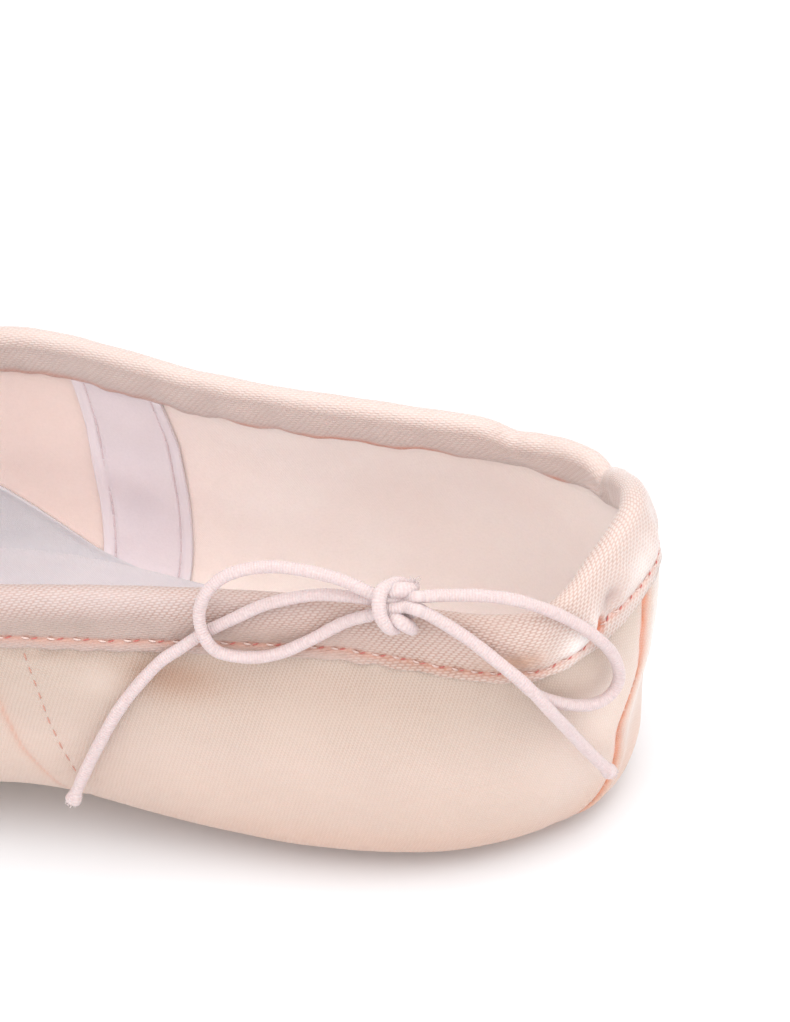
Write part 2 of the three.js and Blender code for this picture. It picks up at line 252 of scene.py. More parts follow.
def eased(table, w):
    """the table's line with its corners rounded over w mm"""
    x = np.arange(table[0, 0], table[-1, 0] + 0.01, 0.25)
    k = np.exp(-(np.arange(-16, 17) * 0.25 / w) ** 2)
    y = np.convolve(np.pad(np.interp(x, table[:, 0], table[:, 1]), 16, mode="edge"), k / k.sum(), mode="valid")
    return np.stack([x, y], -1)


BACK_SEAM = eased(BACK_SEAM, 1.3)


def upper_off(t, D, side):
    """soft relief of the satin, mm outwards"""
    near = side > 0
    u = u_of(t)
    off = 0.22 * waves(u, D, 3, 46) + 0.06 * waves(u, D * 0.7, 5, 17)
    off = off * (0.35 + 0.65 * smooth(t, 0.5, 1.5)) * (1 - 0.6 * smooth(t, 7.5, 9.5))
    # gathers that die away below the casing
    gather = 0.20 * ripples(u, 11, 6.5) * np.exp(-np.maximum(D - 10, 0) / 4.0)
    off = off + gather * (1 - 0.4 * smooth(t, 8, 9))
    # a hollow under the casing where the drawstring pulls
    off = off - 0.55 * gauss(D - 13.5, 4.0) * gauss(t - 4.5, 0.5) * near - 0.35 * gauss(D - 13, 3.5) * gauss(t - 3.2, 0.5)
    # side seam: a lapped edge with its stitches drawn in beside it
    x = Ribs(t[:, 0], 1).ox[:, None] + 0 * D
    on = (t > 3.2) & (t < 7.2)
    a = x - np.interp(D, SIDE_SEAM[:, 0], SIDE_SEAM[:, 1])
    lap = 0.16 * (1 / (1 + np.exp(np.clip(a / 0.16, -30, 30))) - 0.5) * np.exp(-np.abs(a) / 5.0) - 0.22 * gauss(a, 0.42)
    b = x - np.interp(D, SIDE_STITCH[:, 0], SIDE_STITCH[:, 1])
    lap = lap - 0.14 * gauss(b, 0.6)
    off = off + np.where(on, lap, 0)
    # back seam: a sharp crease between two soft rolls, and the heel's knee
    psi = np.radians(row_spline(LAST[:, PSI], t[:, 0], True))[:, None]
    y = 24.0 * np.sin(psi) * side
    c = y - np.interp(D, BACK_SEAM[:, 0], BACK_SEAM[:, 1])
    heel = t < 2.0
    # the cloth beyond the seam folds over it in a soft roll
    crease = -0.95 * np.exp(-np.abs(c) / 0.40) + 0.45 * gauss(c + 2.0, 1.9) + 0.22 * gauss(c - 2.2, 1.8)
    off = off + np.where(heel, crease, 0) * smooth(D, 9.5, 12) * (1 - 0.6 * smooth(D, 47, 53))
    return off + knee(t, D)


HEEL = np.array([(-6, 0.0), (0, 0.0), (4, -0.35), (8, -0.45), (13, -0.42), (16.7, 0.30), (20, 0.85), (24.5, 1.30), (28, 1.35),
                 (32.4, 0.90), (35.4, 0.15), (39.5, -0.75), (42.3, -0.68), (45.9, -0.10), (49.1, 0.60), (52, 0.75), (58, 0.2), (66, 0.0)])
HEEL_D = np.arange(-6, 66.1, 0.25)
_k = np.exp(-(np.arange(-12, 13) * 0.25 / 1.5) ** 2)
HEEL_V = np.convolve(np.pad(np.interp(HEEL_D, HEEL[:, 0], HEEL[:, 1]), 12, mode="edge"), _k / _k.sum(), mode="valid")


def knee(t, D):
    """the heel's own curve from the collar down, mm outwards"""
    return np.interp(D, HEEL_D, HEEL_V) * np.where(t < 2.6, gauss(t, 1.0), 0)


def pleats(t, D, L):
    """satin drawn together under the toe, mm outwards"""
    u = u_of(t)
    k = smooth(t, 8.4, 9.3)
    d = (L[:, None] + 0 * D) - D            # distance up from the flat margin
    fade = 1 - smooth(d, 4.0, 13.0)
    p = 3.4
    s = (u + 0.12 * d) / p
    saw = s - np.floor(s)
    ridge = np.where(saw < 0.82, saw / 0.82, (1 - saw) / 0.18) - 0.5
    return 1.0 * k * fade * ridge


# ------------------------------------------------------------------ meshes
CORD = 1.96              # the drawstring's thickness, mm
RIB = 0.44               # and the pitch of its ribs


def make_mesh(name, verts, faces, fabric=None, mats=(), mat_index=None, smooth_shade=True):
    """verts in mm in the row frame; faces an (n,4) or (n,3) array"""
    me = bpy.data.meshes.new(name)
    verts = np.ascontiguousarray(verts, np.float64) * MM
    faces = np.asarray(faces, np.int32)
    k = faces.shape[1]
    me.vertices.add(len(verts))
    me.vertices.foreach_set("co", verts.ravel())
    me.loops.add(faces.size)
    me.loops.foreach_set("vertex_index", faces.ravel())
    me.polygons.add(len(faces))
    me.polygons.foreach_set("loop_start", np.arange(len(faces), dtype=np.int32) * k)
    if fabric is not None:
        f = np.zeros((len(verts), 3))
        f[:, :fabric.shape[1]] = fabric
        c = f[faces]
        jump = np.ptp(c[..., 0], axis=1) > 100
        if jump.any():
            # the cloth's two sides meet at the toe, each with its own measure
            c[jump, :, 0] = -np.abs(c[jump, :, 0])
            f = c
        at = me.attributes.new("fabric", "FLOAT_VECTOR", "CORNER" if jump.any() else "POINT")
        at.data.foreach_set("vector", f.ravel())
    for m in mats:
        me.materials.append(m)
    if mat_index is not None:
        me.polygons.foreach_set("material_index", np.asarray(mat_index, np.int32))
    me.update(calc_edges=True)
    me.validate()
    me.polygons.foreach_set("use_smooth", np.full(len(me.polygons), smooth_shade))
    ob = bpy.data.objects.new(name, me)
    bpy.context.scene.collection.objects.link(ob)
    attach(ob, "root")
    return ob


def grid_faces(n, m, wrap_n=False, wrap_m=False, flip=False):
    i = np.arange(n if wrap_n else n - 1)
    j = np.arange(m if wrap_m else m - 1)
    I, J = np.meshgrid(i, j, indexing="ij")
    I2, J2 = (I + 1) % n, (J + 1) % m
    f = np.stack([I * m + J, I2 * m + J, I2 * m + J2, I * m + J2], -1).reshape(-1, 4)
    return f[:, ::-1] if flip else f


def outward(verts, faces):
    """turn the faces so that the volume is positive"""
    v = np.asarray(verts)
    a, b, c = v[faces[:, 0]], v[faces[:, 1]], v[faces[:, 2]]
    vol = np.einsum("ij,ij->i", a, np.cross(b, c)).sum()
    if faces.shape[1] == 4:
        d = v[faces[:, 3]]
        vol += np.einsum("ij,ij->i", a, np.cross(c, d)).sum()
    return faces if vol > 0 else faces[:, ::-1]


def catmull(points, step):
    """points every step mm along a smooth curve through the given points"""
    p = np.asarray(points, float)
    q = np.concatenate([[2 * p[0] - p[1]], p, [2 * p[-1] - p[-2]]])
    out = []
    for i in range(1, len(q) - 2):
        u = np.linspace(0, 1, 24, endpoint=False)[:, None]
        a, b, c, d = q[i - 1], q[i], q[i + 1], q[i + 2]
        out.append(0.5 * ((2 * b) + (-a + c) * u + (2 * a - 5 * b + 4 * c - d) * u ** 2 + (-a + 3 * b - 3 * c + d) * u ** 3))
    out = np.concatenate(out + [p[-1:]])
    s = np.concatenate([[0], np.cumsum(np.linalg.norm(np.diff(out, axis=0), axis=1))])
    n = max(2, int(round(s[-1] / step)) + 1)
    k = np.linspace(0, s[-1], n)
    return np.stack([np.interp(k, s, out[:, j]) for j in range(3)], -1), s[-1]


def frames(line):
    """tangents and turning-free normals along a line"""
    t = np.gradient(line, axis=0)
    t /= np.linalg.norm(t, axis=1)[:, None]
    n = np.cross(t[0], [0.3, 0.2, 1.0])
    n /= np.linalg.norm(n)
    N = [n]
    for i in range(1, len(line)):
        n = N[-1] - t[i] * np.dot(N[-1], t[i])
        N.append(n / np.linalg.norm(n))
    N = np.array(N)
    return t, N, np.cross(t, N)


class Nodes:
    """a small helper for building a material's nodes"""

    def __init__(self, name, rough, sheen=0.0, sheen_rough=0.5, spec=0.5, coat=0.0, coat_rough=0.3, sss=0.0):
        self.mat = bpy.data.materials.new(name)
        self.mat.use_nodes = True
        self.t = self.mat.node_tree
        self.bsdf = self.t.nodes["Principled BSDF"]
        i = self.bsdf.inputs
        i["Roughness"].default_value = rough
        i["Specular IOR Level"].default_value = spec
        i["Sheen Weight"].default_value = sheen
        i["Sheen Roughness"].default_value = sheen_rough
        i["Coat Weight"].default_value = coat
        i["Coat Roughness"].default_value = coat_rough
        if sss:
            i["Subsurface Weight"].default_value = sss
            i["Subsurface Radius"].default_value = (1.0, 0.45, 0.3)
            i["Subsurface Scale"].default_value = 0.0025
        a = self.new("ShaderNodeAttribute")
        a.attribute_type = "GEOMETRY"
        a.attribute_name = "fabric"
        self.fabric = a.outputs["Vector"]
        s = self.new("ShaderNodeSeparateXYZ")
        self.link(self.fabric, s.inputs[0])
        self.u, self.v, self.m = s.outputs
        self._obj = None

    def new(self, kind):
        return self.t.nodes.new(kind)

    def link(self, a, b):
        self.t.links.new(a, b)

    @property
    def obj(self):
        if self._obj is None:
            self._obj = self.new("ShaderNodeTexCoord").outputs["Object"]
        return self._obj

    def math(self, op, a, b=None, c=None, clamp=False):
        n = self.new("ShaderNodeMath")
        n.operation = op
        n.use_clamp = clamp
        for k, x in enumerate((a, b, c)):
            if x is None:
                continue
            if isinstance(x, (int, float)):
                n.inputs[k].default_value = x
            else:
                self.link(x, n.inputs[k])
        return n.outputs[0]

    def wave(self, cu, cv, period, warp=None):
        """sine of the cloth's own coordinates: -1 to 1"""
        d = self.new("ShaderNodeVectorMath")
        d.operation = "DOT_PRODUCT"
        self.link(self.fabric, d.inputs[0])
        q = math.hypot(cu, cv) * period / (2 * math.pi)
        d.inputs[1].default_value = (cu / q, cv / q, 0)
        x = d.outputs["Value"]
        if warp is not None:
            x = self.math("ADD", x, warp)
        return self.math("SINE", x)

    def noise(self, scale, detail=2.0, vec=None, stretch=None, rough=0.5):
        n = self.new("ShaderNodeTexNoise")
        n.inputs["Scale"].default_value = scale
        n.inputs["Detail"].default_value = detail
        n.inputs["Roughness"].default_value = rough
        vec = self.fabric if vec is None else vec
        if stretch is not None:
            m = self.new("ShaderNodeMapping")
            m.inputs["Rotation"].default_value = (0, 0, stretch[2] if len(stretch) > 2 else 0)
            m.inputs["Scale"].default_value = (stretch[0], stretch[1], 1)
            self.link(vec, m.inputs["Vector"])
            vec = m.outputs[0]
        self.link(vec, n.inputs["Vector"])
        return n.outputs["Fac"]

    def ramp(self, fac, stops):
        n = self.new("ShaderNodeValToRGB")
        e = n.color_ramp.elements
        while len(e) > 1:
            e.remove(e[0])
        for k, (p, c) in enumerate(stops):
            x = e[0] if k == 0 else e.new(p)
            x.position = p
            x.color = (*lin(c), 1) if isinstance(c, tuple) else (c, c, c, 1)
        self.link(fac, n.inputs[0])
        return n.outputs[0]

    def mix(self, fac, a, b, kind="MIX"):
        n = self.new("ShaderNodeMix")
        n.data_type = "RGBA"
        n.blend_type = kind
        for s, x in ((n.inputs[0], fac), (n.inputs[6], a), (n.inputs[7], b)):
            if isinstance(x, (int, float)):
                s.default_value = x
            elif isinstance(x, tuple):
                s.default_value = (*lin(x), 1)
            else:
                self.link(x, s)
        return n.outputs[2]

    def bump(self, height, distance, strength=1.0, normal=None):
        """distance in mm for a height of one"""
        n = self.new("ShaderNodeBump")
        n.inputs["Strength"].default_value = strength
        n.inputs["Distance"].default_value = distance * MM
        self.link(height, n.inputs["Height"])
        if normal is not None:
            self.link(normal, n.inputs["Normal"])
        return n.outputs[0]

    def finish(self, colour, normal=None, rough=None):
        self.link(colour, self.bsdf.inputs["Base Color"])
        if normal is not None:
            self.link(normal, self.bsdf.inputs["Normal"])
        if rough is not None:
            self.link(rough, self.bsdf.inputs["Roughness"])
        return self.mat


def lin(c):
    return tuple(((x / 255 + 0.055) / 1.055) ** 2.4 if x > 10 else x / 255 / 12.92 for x in c)


def floats(n, angle, across, along, shift, warp=None):
    """the weave's floating yarns as rows of short dashes: 0 to 1.
    angle: their direction in the cloth, degrees; sizes in mm"""
    ca, sa = math.cos(math.radians(angle)), math.sin(math.radians(angle))

    def dot(x, y):
        d = n.new("ShaderNodeVectorMath")
        d.operation = "DOT_PRODUCT"
        n.link(n.fabric, d.inputs[0])
        d.inputs[1].default_value = (x, y, 0)
        return d.outputs["Value"]
    q = dot(-sa / across, ca / across)
    if warp is not None:
        q = n.math("ADD", q, warp)
    row = n.math("FLOOR", q)
    f = n.math("SUBTRACT", q, row)
    p = n.math("ADD", dot(ca / along, sa / along), n.math("MULTIPLY", row, shift))
    dash = n.math("MULTIPLY_ADD", n.math("SINE", n.math("MULTIPLY", p, 2 * math.pi)), 0.5, 0.5)
    dash = n.math("MULTIPLY", dash, n.math("SUBTRACT", 2.0, dash))
    round_ = n.math("MULTIPLY", n.math("MULTIPLY", f, n.math("SUBTRACT", 1.0, f)), 4.0)
    return n.math("MULTIPLY", dash, round_)


def satin_material(name, shaded_tones, along, seam, weave, rough, dark, light, tape=False, painted_light_spots=()):
    """shaded_tones: colours over the cloth, the satin's own tone with painted shade and painted light in it; weave:
    depth of the yarns, mm; dark and
    light: painted shade in the gaps between the yarns and painted sparkle on the floats; painted_light_spots: (u, v,
    half sizes, strength, colour, calm), patches of painted highlight and painted shade, calm damping the weave's
    contrast there"""
    n = Nodes(name, rough, sheen=0.30, sheen_rough=0.35, spec=0.55, sss=0.12)
    warp = n.math("MULTIPLY", n.noise(0.22, 2), 1.6)
    if tape:
        h = floats(n, 9, 0.41, 1.12, -0.37, warp)
        grain = n.noise(1.0, 2, stretch=(0.8, 2.2, 0.0))
    else:
        h = floats(n, 113, 0.32, 0.90, 0.41, warp)
        grain = n.noise(1.0, 2, stretch=(2.2, 0.9, 0.35))
    patch = n.noise(0.07, 2)
    mixed = n.math("ADD", h, n.math("MULTIPLY", grain, 0.5))
    fine = n.bump(mixed, weave)
    soft = n.noise(0.16, 3, rough=0.6)
    normal = n.bump(soft, 0.5, 0.5, fine)
    if tape:
        # painted light and shade: round the tape the tone is darker on the near side towards the toe and lighter on the
        # far side
        place = n.math("MULTIPLY_ADD", n.u, 1 / 300, 0.5)
    else:
        # painted light: low down the quarters are a deeper orange where bounce light from the floor falls, and just
        # under the casing darker where shade falls; both fade towards the toe
        away = n.math("MULTIPLY_ADD", n.math("ABSOLUTE", n.u), -0.004, 1.48, clamp=True)
        place = n.math("MULTIPLY", n.math("DIVIDE", n.v, 70), away)
    tone = n.ramp(place, shaded_tones)
    cloud = n.ramp(n.noise(0.05, 3), [(0.3, 0.95), (0.7, 1.0)])
    colour = n.mix(1.0, tone, cloud, "MULTIPLY")
    amount = n.math("MULTIPLY", n.math("MULTIPLY_ADD", patch, 1.3, 0.35), n.ramp(place, along))
    if tape:
        # on the near side the sparkle dies away down the face of the tape
        side = n.math("MULTIPLY_ADD", n.u, 1 / 12, -46 / 12, clamp=True)
        down = n.math("MULTIPLY_ADD", n.v, 1 / 2.2, -3.6 / 2.2, clamp=True)
        amount = n.math("MULTIPLY", amount, n.math("MULTIPLY_ADD", n.math("MULTIPLY", side, down), -0.75, 1.0))
    # patches of painted highlight and painted shade, each a soft oval in the cloth's coordinates
    for u0, v0, a, b, k, tint, calm in painted_light_spots:
        du = n.math("DIVIDE", n.math("SUBTRACT", n.u, u0), a)
        dv = n.math("DIVIDE", n.math("SUBTRACT", n.v, v0), b)
        d = n.math("ADD", n.math("MULTIPLY", du, du), n.math("MULTIPLY", dv, dv))
        g = n.math("EXPONENT", n.math("MULTIPLY", d, -1.0))
        colour = n.mix(n.math("MULTIPLY", g, k), colour, tint)
        if calm:
            amount = n.math("MULTIPLY", amount, n.math("MULTIPLY_ADD", g, -calm, 1.0))
    # painted light: the floats are lightened as sparkle and the gaps between them darkened as shade
    t = n.ramp(mixed, [(0.12, 0.0), (0.95, 1.0)])
    yarn_gap_shade = n.mix(1.0, colour, dark, "MULTIPLY")
    float_glint = n.mix(1.0, colour, light, "SCREEN")
    yarn = n.mix(t, yarn_gap_shade, float_glint)
    colour = n.mix(n.math("MULTIPLY", amount, 1.0, clamp=True), colour, yarn)
    # painted shade: the fabric mask mixes in the seam colour, as the seam lines and as shade in the back seam's crease,
    # along the casing's stitch row, in the eyelet and under the casing's inner roll
    colour = n.mix(n.math("MULTIPLY", n.m, 1.0, clamp=True), colour, seam)
    r = n.math("MULTIPLY_ADD", grain, 0.2, rough - 0.1)
    return n.finish(colour, normal, r)


def cotton_material(name, base, dark, thread=0.42, depth=0.05, seam=None, warm=None):
    n = Nodes(name, 0.85, sheen=0.25, sheen_rough=0.6, spec=0.25, sss=0.1)
    wob = n.math("MULTIPLY", n.noise(0.5, 2), 2.0)
    a, b = n.wave(1, 0, thread, wob), n.wave(0, 1, thread, wob)
    h = n.math("MULTIPLY", a, b)
    h = n.math("ADD", h, n.math("MULTIPLY", n.noise(1.6, 2), 0.8))
    fine = n.bump(h, depth)
    normal = n.bump(n.noise(0.12, 3), 0.7, 0.5, fine)
    colour = n.ramp(n.noise(0.06, 3), [(0.3, dark), (0.68, base)])
    fleck = n.ramp(n.noise(2.2, 2), [(0.3, 0.97), (0.6, 1.0)])
    colour = n.mix(1.0, colour, fleck, "MULTIPLY")
    # on the lining the warm colour is painted shade; on the tape it tints the edge bands
    if warm is not None:
        far = n.math("MULTIPLY", n.m, 1.0, clamp=True)
        colour = n.mix(far, colour, warm)
    return n.finish(colour, normal)


def elastic_material():
    n = Nodes("elastic", 0.55, sheen=0.2, sheen_rough=0.4, spec=0.35, sss=0.15)
    # fabric: x along the cord, y and z across it, mm
    wob = n.math("MULTIPLY", n.noise(1.3, 2), 2.4)
    rib = n.wave(1, 0, RIB, wob)
    n2 = n.noise(1.0, 2, stretch=(2.2, 3.4))
    fine = n.noise(5.0, 2)
    h = n.math("ADD", n.math("MULTIPLY", rib, 0.45), n.math("MULTIPLY", fine, 0.8))
    normal = n.bump(h, 0.055)
    tone = n.ramp(n2, [(0.3, (203, 185, 184)), (0.7, (216, 199, 198))])
    # painted shade: the grooves between the ribs are darkened
    painted_gap_shade = n.ramp(n.math("MULTIPLY_ADD", rib, 0.5, 0.5, clamp=True), [(0.0, (242, 221, 217)), (0.55, (255, 255, 255))])
    fleck = n.ramp(fine, [(0.32, 0.93), (0.55, 1.0)])
    colour = n.mix(0.26, tone, painted_gap_shade, "MULTIPLY")
    return n.finish(n.mix(1.0, colour, fleck, "MULTIPLY"), normal)


def thread_material(name, a, b):
    n = Nodes(name, 0.5, sheen=0.2, spec=0.4)
    colour = n.ramp(n.noise(0.8, 2), [(0.35, a), (0.65, b)])
    twist = n.wave(1, 1, 0.28)
    return n.finish(colour, n.bump(twist, 0.03))


def leather_material():
    n = Nodes("sole_leather", 0.72, sheen=0.15, spec=0.3)
    grain = n.noise(900, 4, n.obj, rough=0.65)
    soft = n.noise(90, 3, n.obj)
    h = n.math("ADD", n.math("MULTIPLY", grain, 0.5), soft)
    tone = n.ramp(soft, [(0.3, (206, 172, 140)), (0.7, (224, 194, 164))])
    edge = n.math("MULTIPLY", n.m, 1.0, clamp=True)
    colour = n.mix(edge, tone, (196, 158, 126))
    rub = n.ramp(n.noise(28, 4, n.obj), [(0.35, 0.93), (0.65, 1.0)])
    return n.finish(n.mix(1.0, colour, rub, "MULTIPLY"), n.bump(h, 0.16))


# the satin's tones and spots paint shade under the casing, bounce light low down, and patches of highlight and shade on
# the quarters and at the heel
SATIN = satin_material("satin", [(0.0, (196, 176, 163)), (0.22, (196, 176, 163)), (0.40, (208, 186, 174)), (0.56, (208, 183, 169)),
                                 (0.74, (213, 171, 148)), (1.0, (213, 171, 148))],
                       [(0.14, 1.0), (0.30, 0.75), (0.48, 0.35), (1.0, 0.25)],
                       (210, 124, 84), 0.05, 0.36, (232, 223, 217), (40, 37, 34),
                       painted_light_spots=((87, 14.6, 8.5, 3.6, 0.95, (174, 140, 119), -0.5), (105, 11.3, 9.0, 1.3, 0.7, (180, 156, 141), 0.0),
                              (98, 16.0, 5.0, 3.4, 0.6, (208, 190, 179), 0.7), (62, 14.5, 17.0, 4.5, 0.5, (189, 165, 152), 0.0),
                              (-2.0, 24.0, 12.0, 14.0, 0.6, (236, 220, 210), 0.5),
                              (19.0, 29.0, 10.0, 12.0, 0.75, (228, 208, 197), 0.3)))
# the tape's tones and spots paint light and shade round the casing: darker on the near side towards the toe, lighter on
# the far side, highlights towards the heel and orange shade beside the bow
SATIN_TAPE = satin_material("satin_tape", [(0.0, (200, 180, 172)), (0.10, (218, 200, 193)), (0.42, (218, 200, 193)), (0.49, (212, 194, 187)), (0.56, (213, 195, 188)),
                                           (0.62, (208, 185, 175)), (0.69, (191, 165, 155)), (0.78, (181, 158, 150)), (0.89, (181, 158, 150)), (1.0, (200, 180, 172))],
                            [(0.0, 0.6), (0.10, 0.35), (0.40, 0.35), (0.50, 0.8), (0.56, 1.0), (0.89, 1.0), (1.0, 0.6)],
                            (217, 132, 100), 0.08, 0.32, (226, 202, 192), (82, 76, 72), tape=True,
                            painted_light_spots=((101, 6.4, 13.0, 2.3, 0.75, (172, 151, 141), 0.6), (70, 7.6, 9.0, 1.6, 0.5, (181, 159, 146), 0.5),
                                   (40, 8.8, 10.0, 1.5, 0.6, (176, 149, 133), 0.0), (30.5, 7.2, 4.4, 1.7, 0.9, (200, 161, 138), 0.95),
                                   (19.5, 8.0, 4.0, 2.6, 0.95, (250, 242, 238), 0.8), (13.0, 7.0, 2.4, 1.8, 0.85, (183, 154, 146), 0.9),
                                   (5.5, 8.4, 5.2, 3.6, 0.6, (244, 232, 226), 0.5), (92.0, 1.0, 36.0, 2.6, 0.7, (203, 186, 183), 0.35)))
# the lining's warm colour is painted shade, mixed in where the fabric mask is set
LINING = cotton_material("lining_cotton", (252, 240, 234), (249, 235, 228), 0.36, 0.02, warm=(214, 146, 124))
CANVAS = cotton_material("white_canvas", (214, 208, 211), (208, 202, 206), 0.42, 0.02)
TAPE = cotton_material("tape_cotton", (237, 222, 224), (231, 214, 218), 0.34, 0.02, warm=(235, 220, 223))
ELASTIC = elastic_material()
# dark-red dashes of thread colour that stand for the shade in each stitch hole
STITCH_HOLE_SHADE = thread_material("stitch_thread", (204, 104, 98), (222, 142, 132))
STITCH_PALE = thread_material("stitch_thread_pale", (230, 203, 194), (238, 214, 206))
STITCH_SIDE = thread_material("stitch_thread_side", (224, 160, 140), (232, 178, 160))
LEATHER = leather_material()


# ------------------------------------------------------------------ upper
def spaced(total_of, n, dense):
    """n + 1 rib numbers, evenly spaced by length but closer where dense() is high"""
    t = np.linspace(0, TMAX, 4001)
    w = np.gradient(total_of(t), t) * dense(t)
    c = np.concatenate([[0], np.cumsum((w[1:] + w[:-1]) / 2)])
    return np.interp(np.linspace(0, c[-1], n + 1), c, t)


def both_sides(t):
    return np.concatenate([t, t[-2:0:-1]]), np.concatenate([np.ones(len(t)), -np.ones(len(t) - 2)])


CASING_EDGE = np.array([(0.0, 13.6), (0.5, 13.5), (0.7, 13.4), (1.1, 13.0), (1.4, 11.9), (1.8, 11.1), (2.14, 10.8), (2.5, 10.4), (2.9, 9.7), (3.4, 9.4), (4.2, 10.0), (4.9, 10.2), (5.4, 9.9), (12.0, 10.2)])
CASING_STITCH = np.array([(0.0, 12.0), (0.43, 11.6), (0.65, 11.1), (1.05, 9.8), (1.25, 9.7), (1.5, 10.2), (1.8, 9.6), (2.1, 9.5), (2.44, 9.1), (2.9, 8.3), (3.4, 7.7), (4.2, 8.2), (4.9, 8.6), (5.4, 8.2), (12.0, 8.5)])


def seam_shade_mask(t, D, side):
    # painted shade: orange shade and bounce light in the back seam's crease, and a thin line along the side seam's
    # lapped edge, partly the seam's own line and partly painted shade under the lap
    psi = np.radians(row_spline(LAST[:, PSI], t[:, 0], True))[:, None]
    c = 24.0 * np.sin(psi) * side - np.interp(D, BACK_SEAM[:, 0], BACK_SEAM[:, 1])
    m = np.where(t < 2.0, 0.9 * gauss(c, 0.5) + 0.30 * gauss(c, 1.4), 0) * smooth(D, 10, 13) * (1 - smooth(D, 49, 54))
    x = Ribs(t[:, 0], 1).ox[:, None] + 0 * D
    a = x - np.interp(D, SIDE_SEAM[:, 0], SIDE_SEAM[:, 1])
    m = m + np.where((t > 3.2) & (t < 7.2), 0.30 * gauss(a, 0.3) + 0.08 * gauss(a, 1.2), 0)
    return np.clip(m, 0, 1)


def build_upper():
    n = 330
    t, side = both_sides(spaced(u_of, n, lambda t: 1 + 3.0 * gauss(t, 0.22) + 1.4 * gauss(t - 5.0, 0.5)))
    R = Ribs(t, side)
    T, S = t[:, None], side[:, None]
    margin = R.rs - R.open
    low = R.length[:, None] + margin[:, None]
    top = 6.9 + 0 * T
    k = np.linspace(0, 1, 84)[None, :]
    D = top + (low - top) * k
    off = upper_off(T, D, S)
    flat = np.clip(D - R.length[:, None], 0, None)
    off = off * np.exp(-flat / 2.0) + pleats(T, np.minimum(D, R.length[:, None]), R.length) * np.exp(-flat / 6.0)
    edge = np.interp(T, CASING_EDGE[:, 0], CASING_EDGE[:, 1])
    off = off - 0.55 * (1 - smooth(D, edge - 1.3, edge - 0.3)) - 0.35 * (1 - smooth(D, 7.2, 9.0))
    outer = R.at(D, off)
    u_out = np.broadcast_to(u_of(t)[:, None] * side[:, None], D.shape)
    fab_out = np.stack([u_out, D, seam_shade_mask(T, np.minimum(D, R.length[:, None]), S)], -1)
    ki = np.linspace(1, 0, 50)[None, :] ** 1.0
    Di = top + 0.15 + (low - top - 0.15) * ki
    wall = R.wall[:, None]
    soft = 0.12 * waves(u_of(T) * S, Di, 21, 30) * (Di < R.length[:, None])
    inner = R.at(Di, -wall - soft * smooth(Di, 10, 16))
    # painted shade: the lining is warmer and darker in the gap above the insole and, more faintly, towards the toe
    foot = R.length[:, None] - 3.0
    painted_gap_shade = np.maximum(np.exp(-np.maximum(foot - Di, 0) / 1.0) * (0.25 + 0.75 * smooth(T, 4.9, 6.2)), 0.27 * smooth(T, 4.2, 5.8))
    fab_in = np.stack([np.broadcast_to(u_of(t)[:, None] * side[:, None], Di.shape), Di, 0.9 * painted_gap_shade], -1)
    P = np.concatenate([outer, inner], 1)
    F = np.concatenate([fab_out, fab_in], 1)
    N, M = P.shape[:2]
    faces = grid_faces(N, M, True, True)
    j = np.tile(np.arange(M), N)
    mat = np.where((j >= 84) & (j < M - 1), 1, 0)
    verts = P.reshape(-1, 3)
    ok = outward(verts, faces)
    ob = make_mesh("upper_shell", verts, ok, F.reshape(-1, 3), (SATIN, LINING), mat)
    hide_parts("upper")
    return ob


UPPER = build_upper()


# ------------------------------------------------------------------ casing
def casing_row(t):
    """where the stitches and the lower edge lie, arc mm below the top"""
    return (np.interp(t, CASING_STITCH[:, 0], CASING_STITCH[:, 1]),
            np.interp(t, CASING_EDGE[:, 0], CASING_EDGE[:, 1]))


STITCH_STEP = np.array([(0, 2.6), (2.5, 2.7), (4, 3.6), (5, 4.0), (12, 4.0)])


def stitch_phase():
    t = np.linspace(0, TMAX, 2401)
    s = s_of(t)
    d = np.gradient(s) / np.interp(t, STITCH_STEP[:, 0], STITCH_STEP[:, 1])
    return t, np.concatenate([[0], np.cumsum((d[1:] + d[:-1]) / 2)])


PH_T, PH_N = stitch_phase()


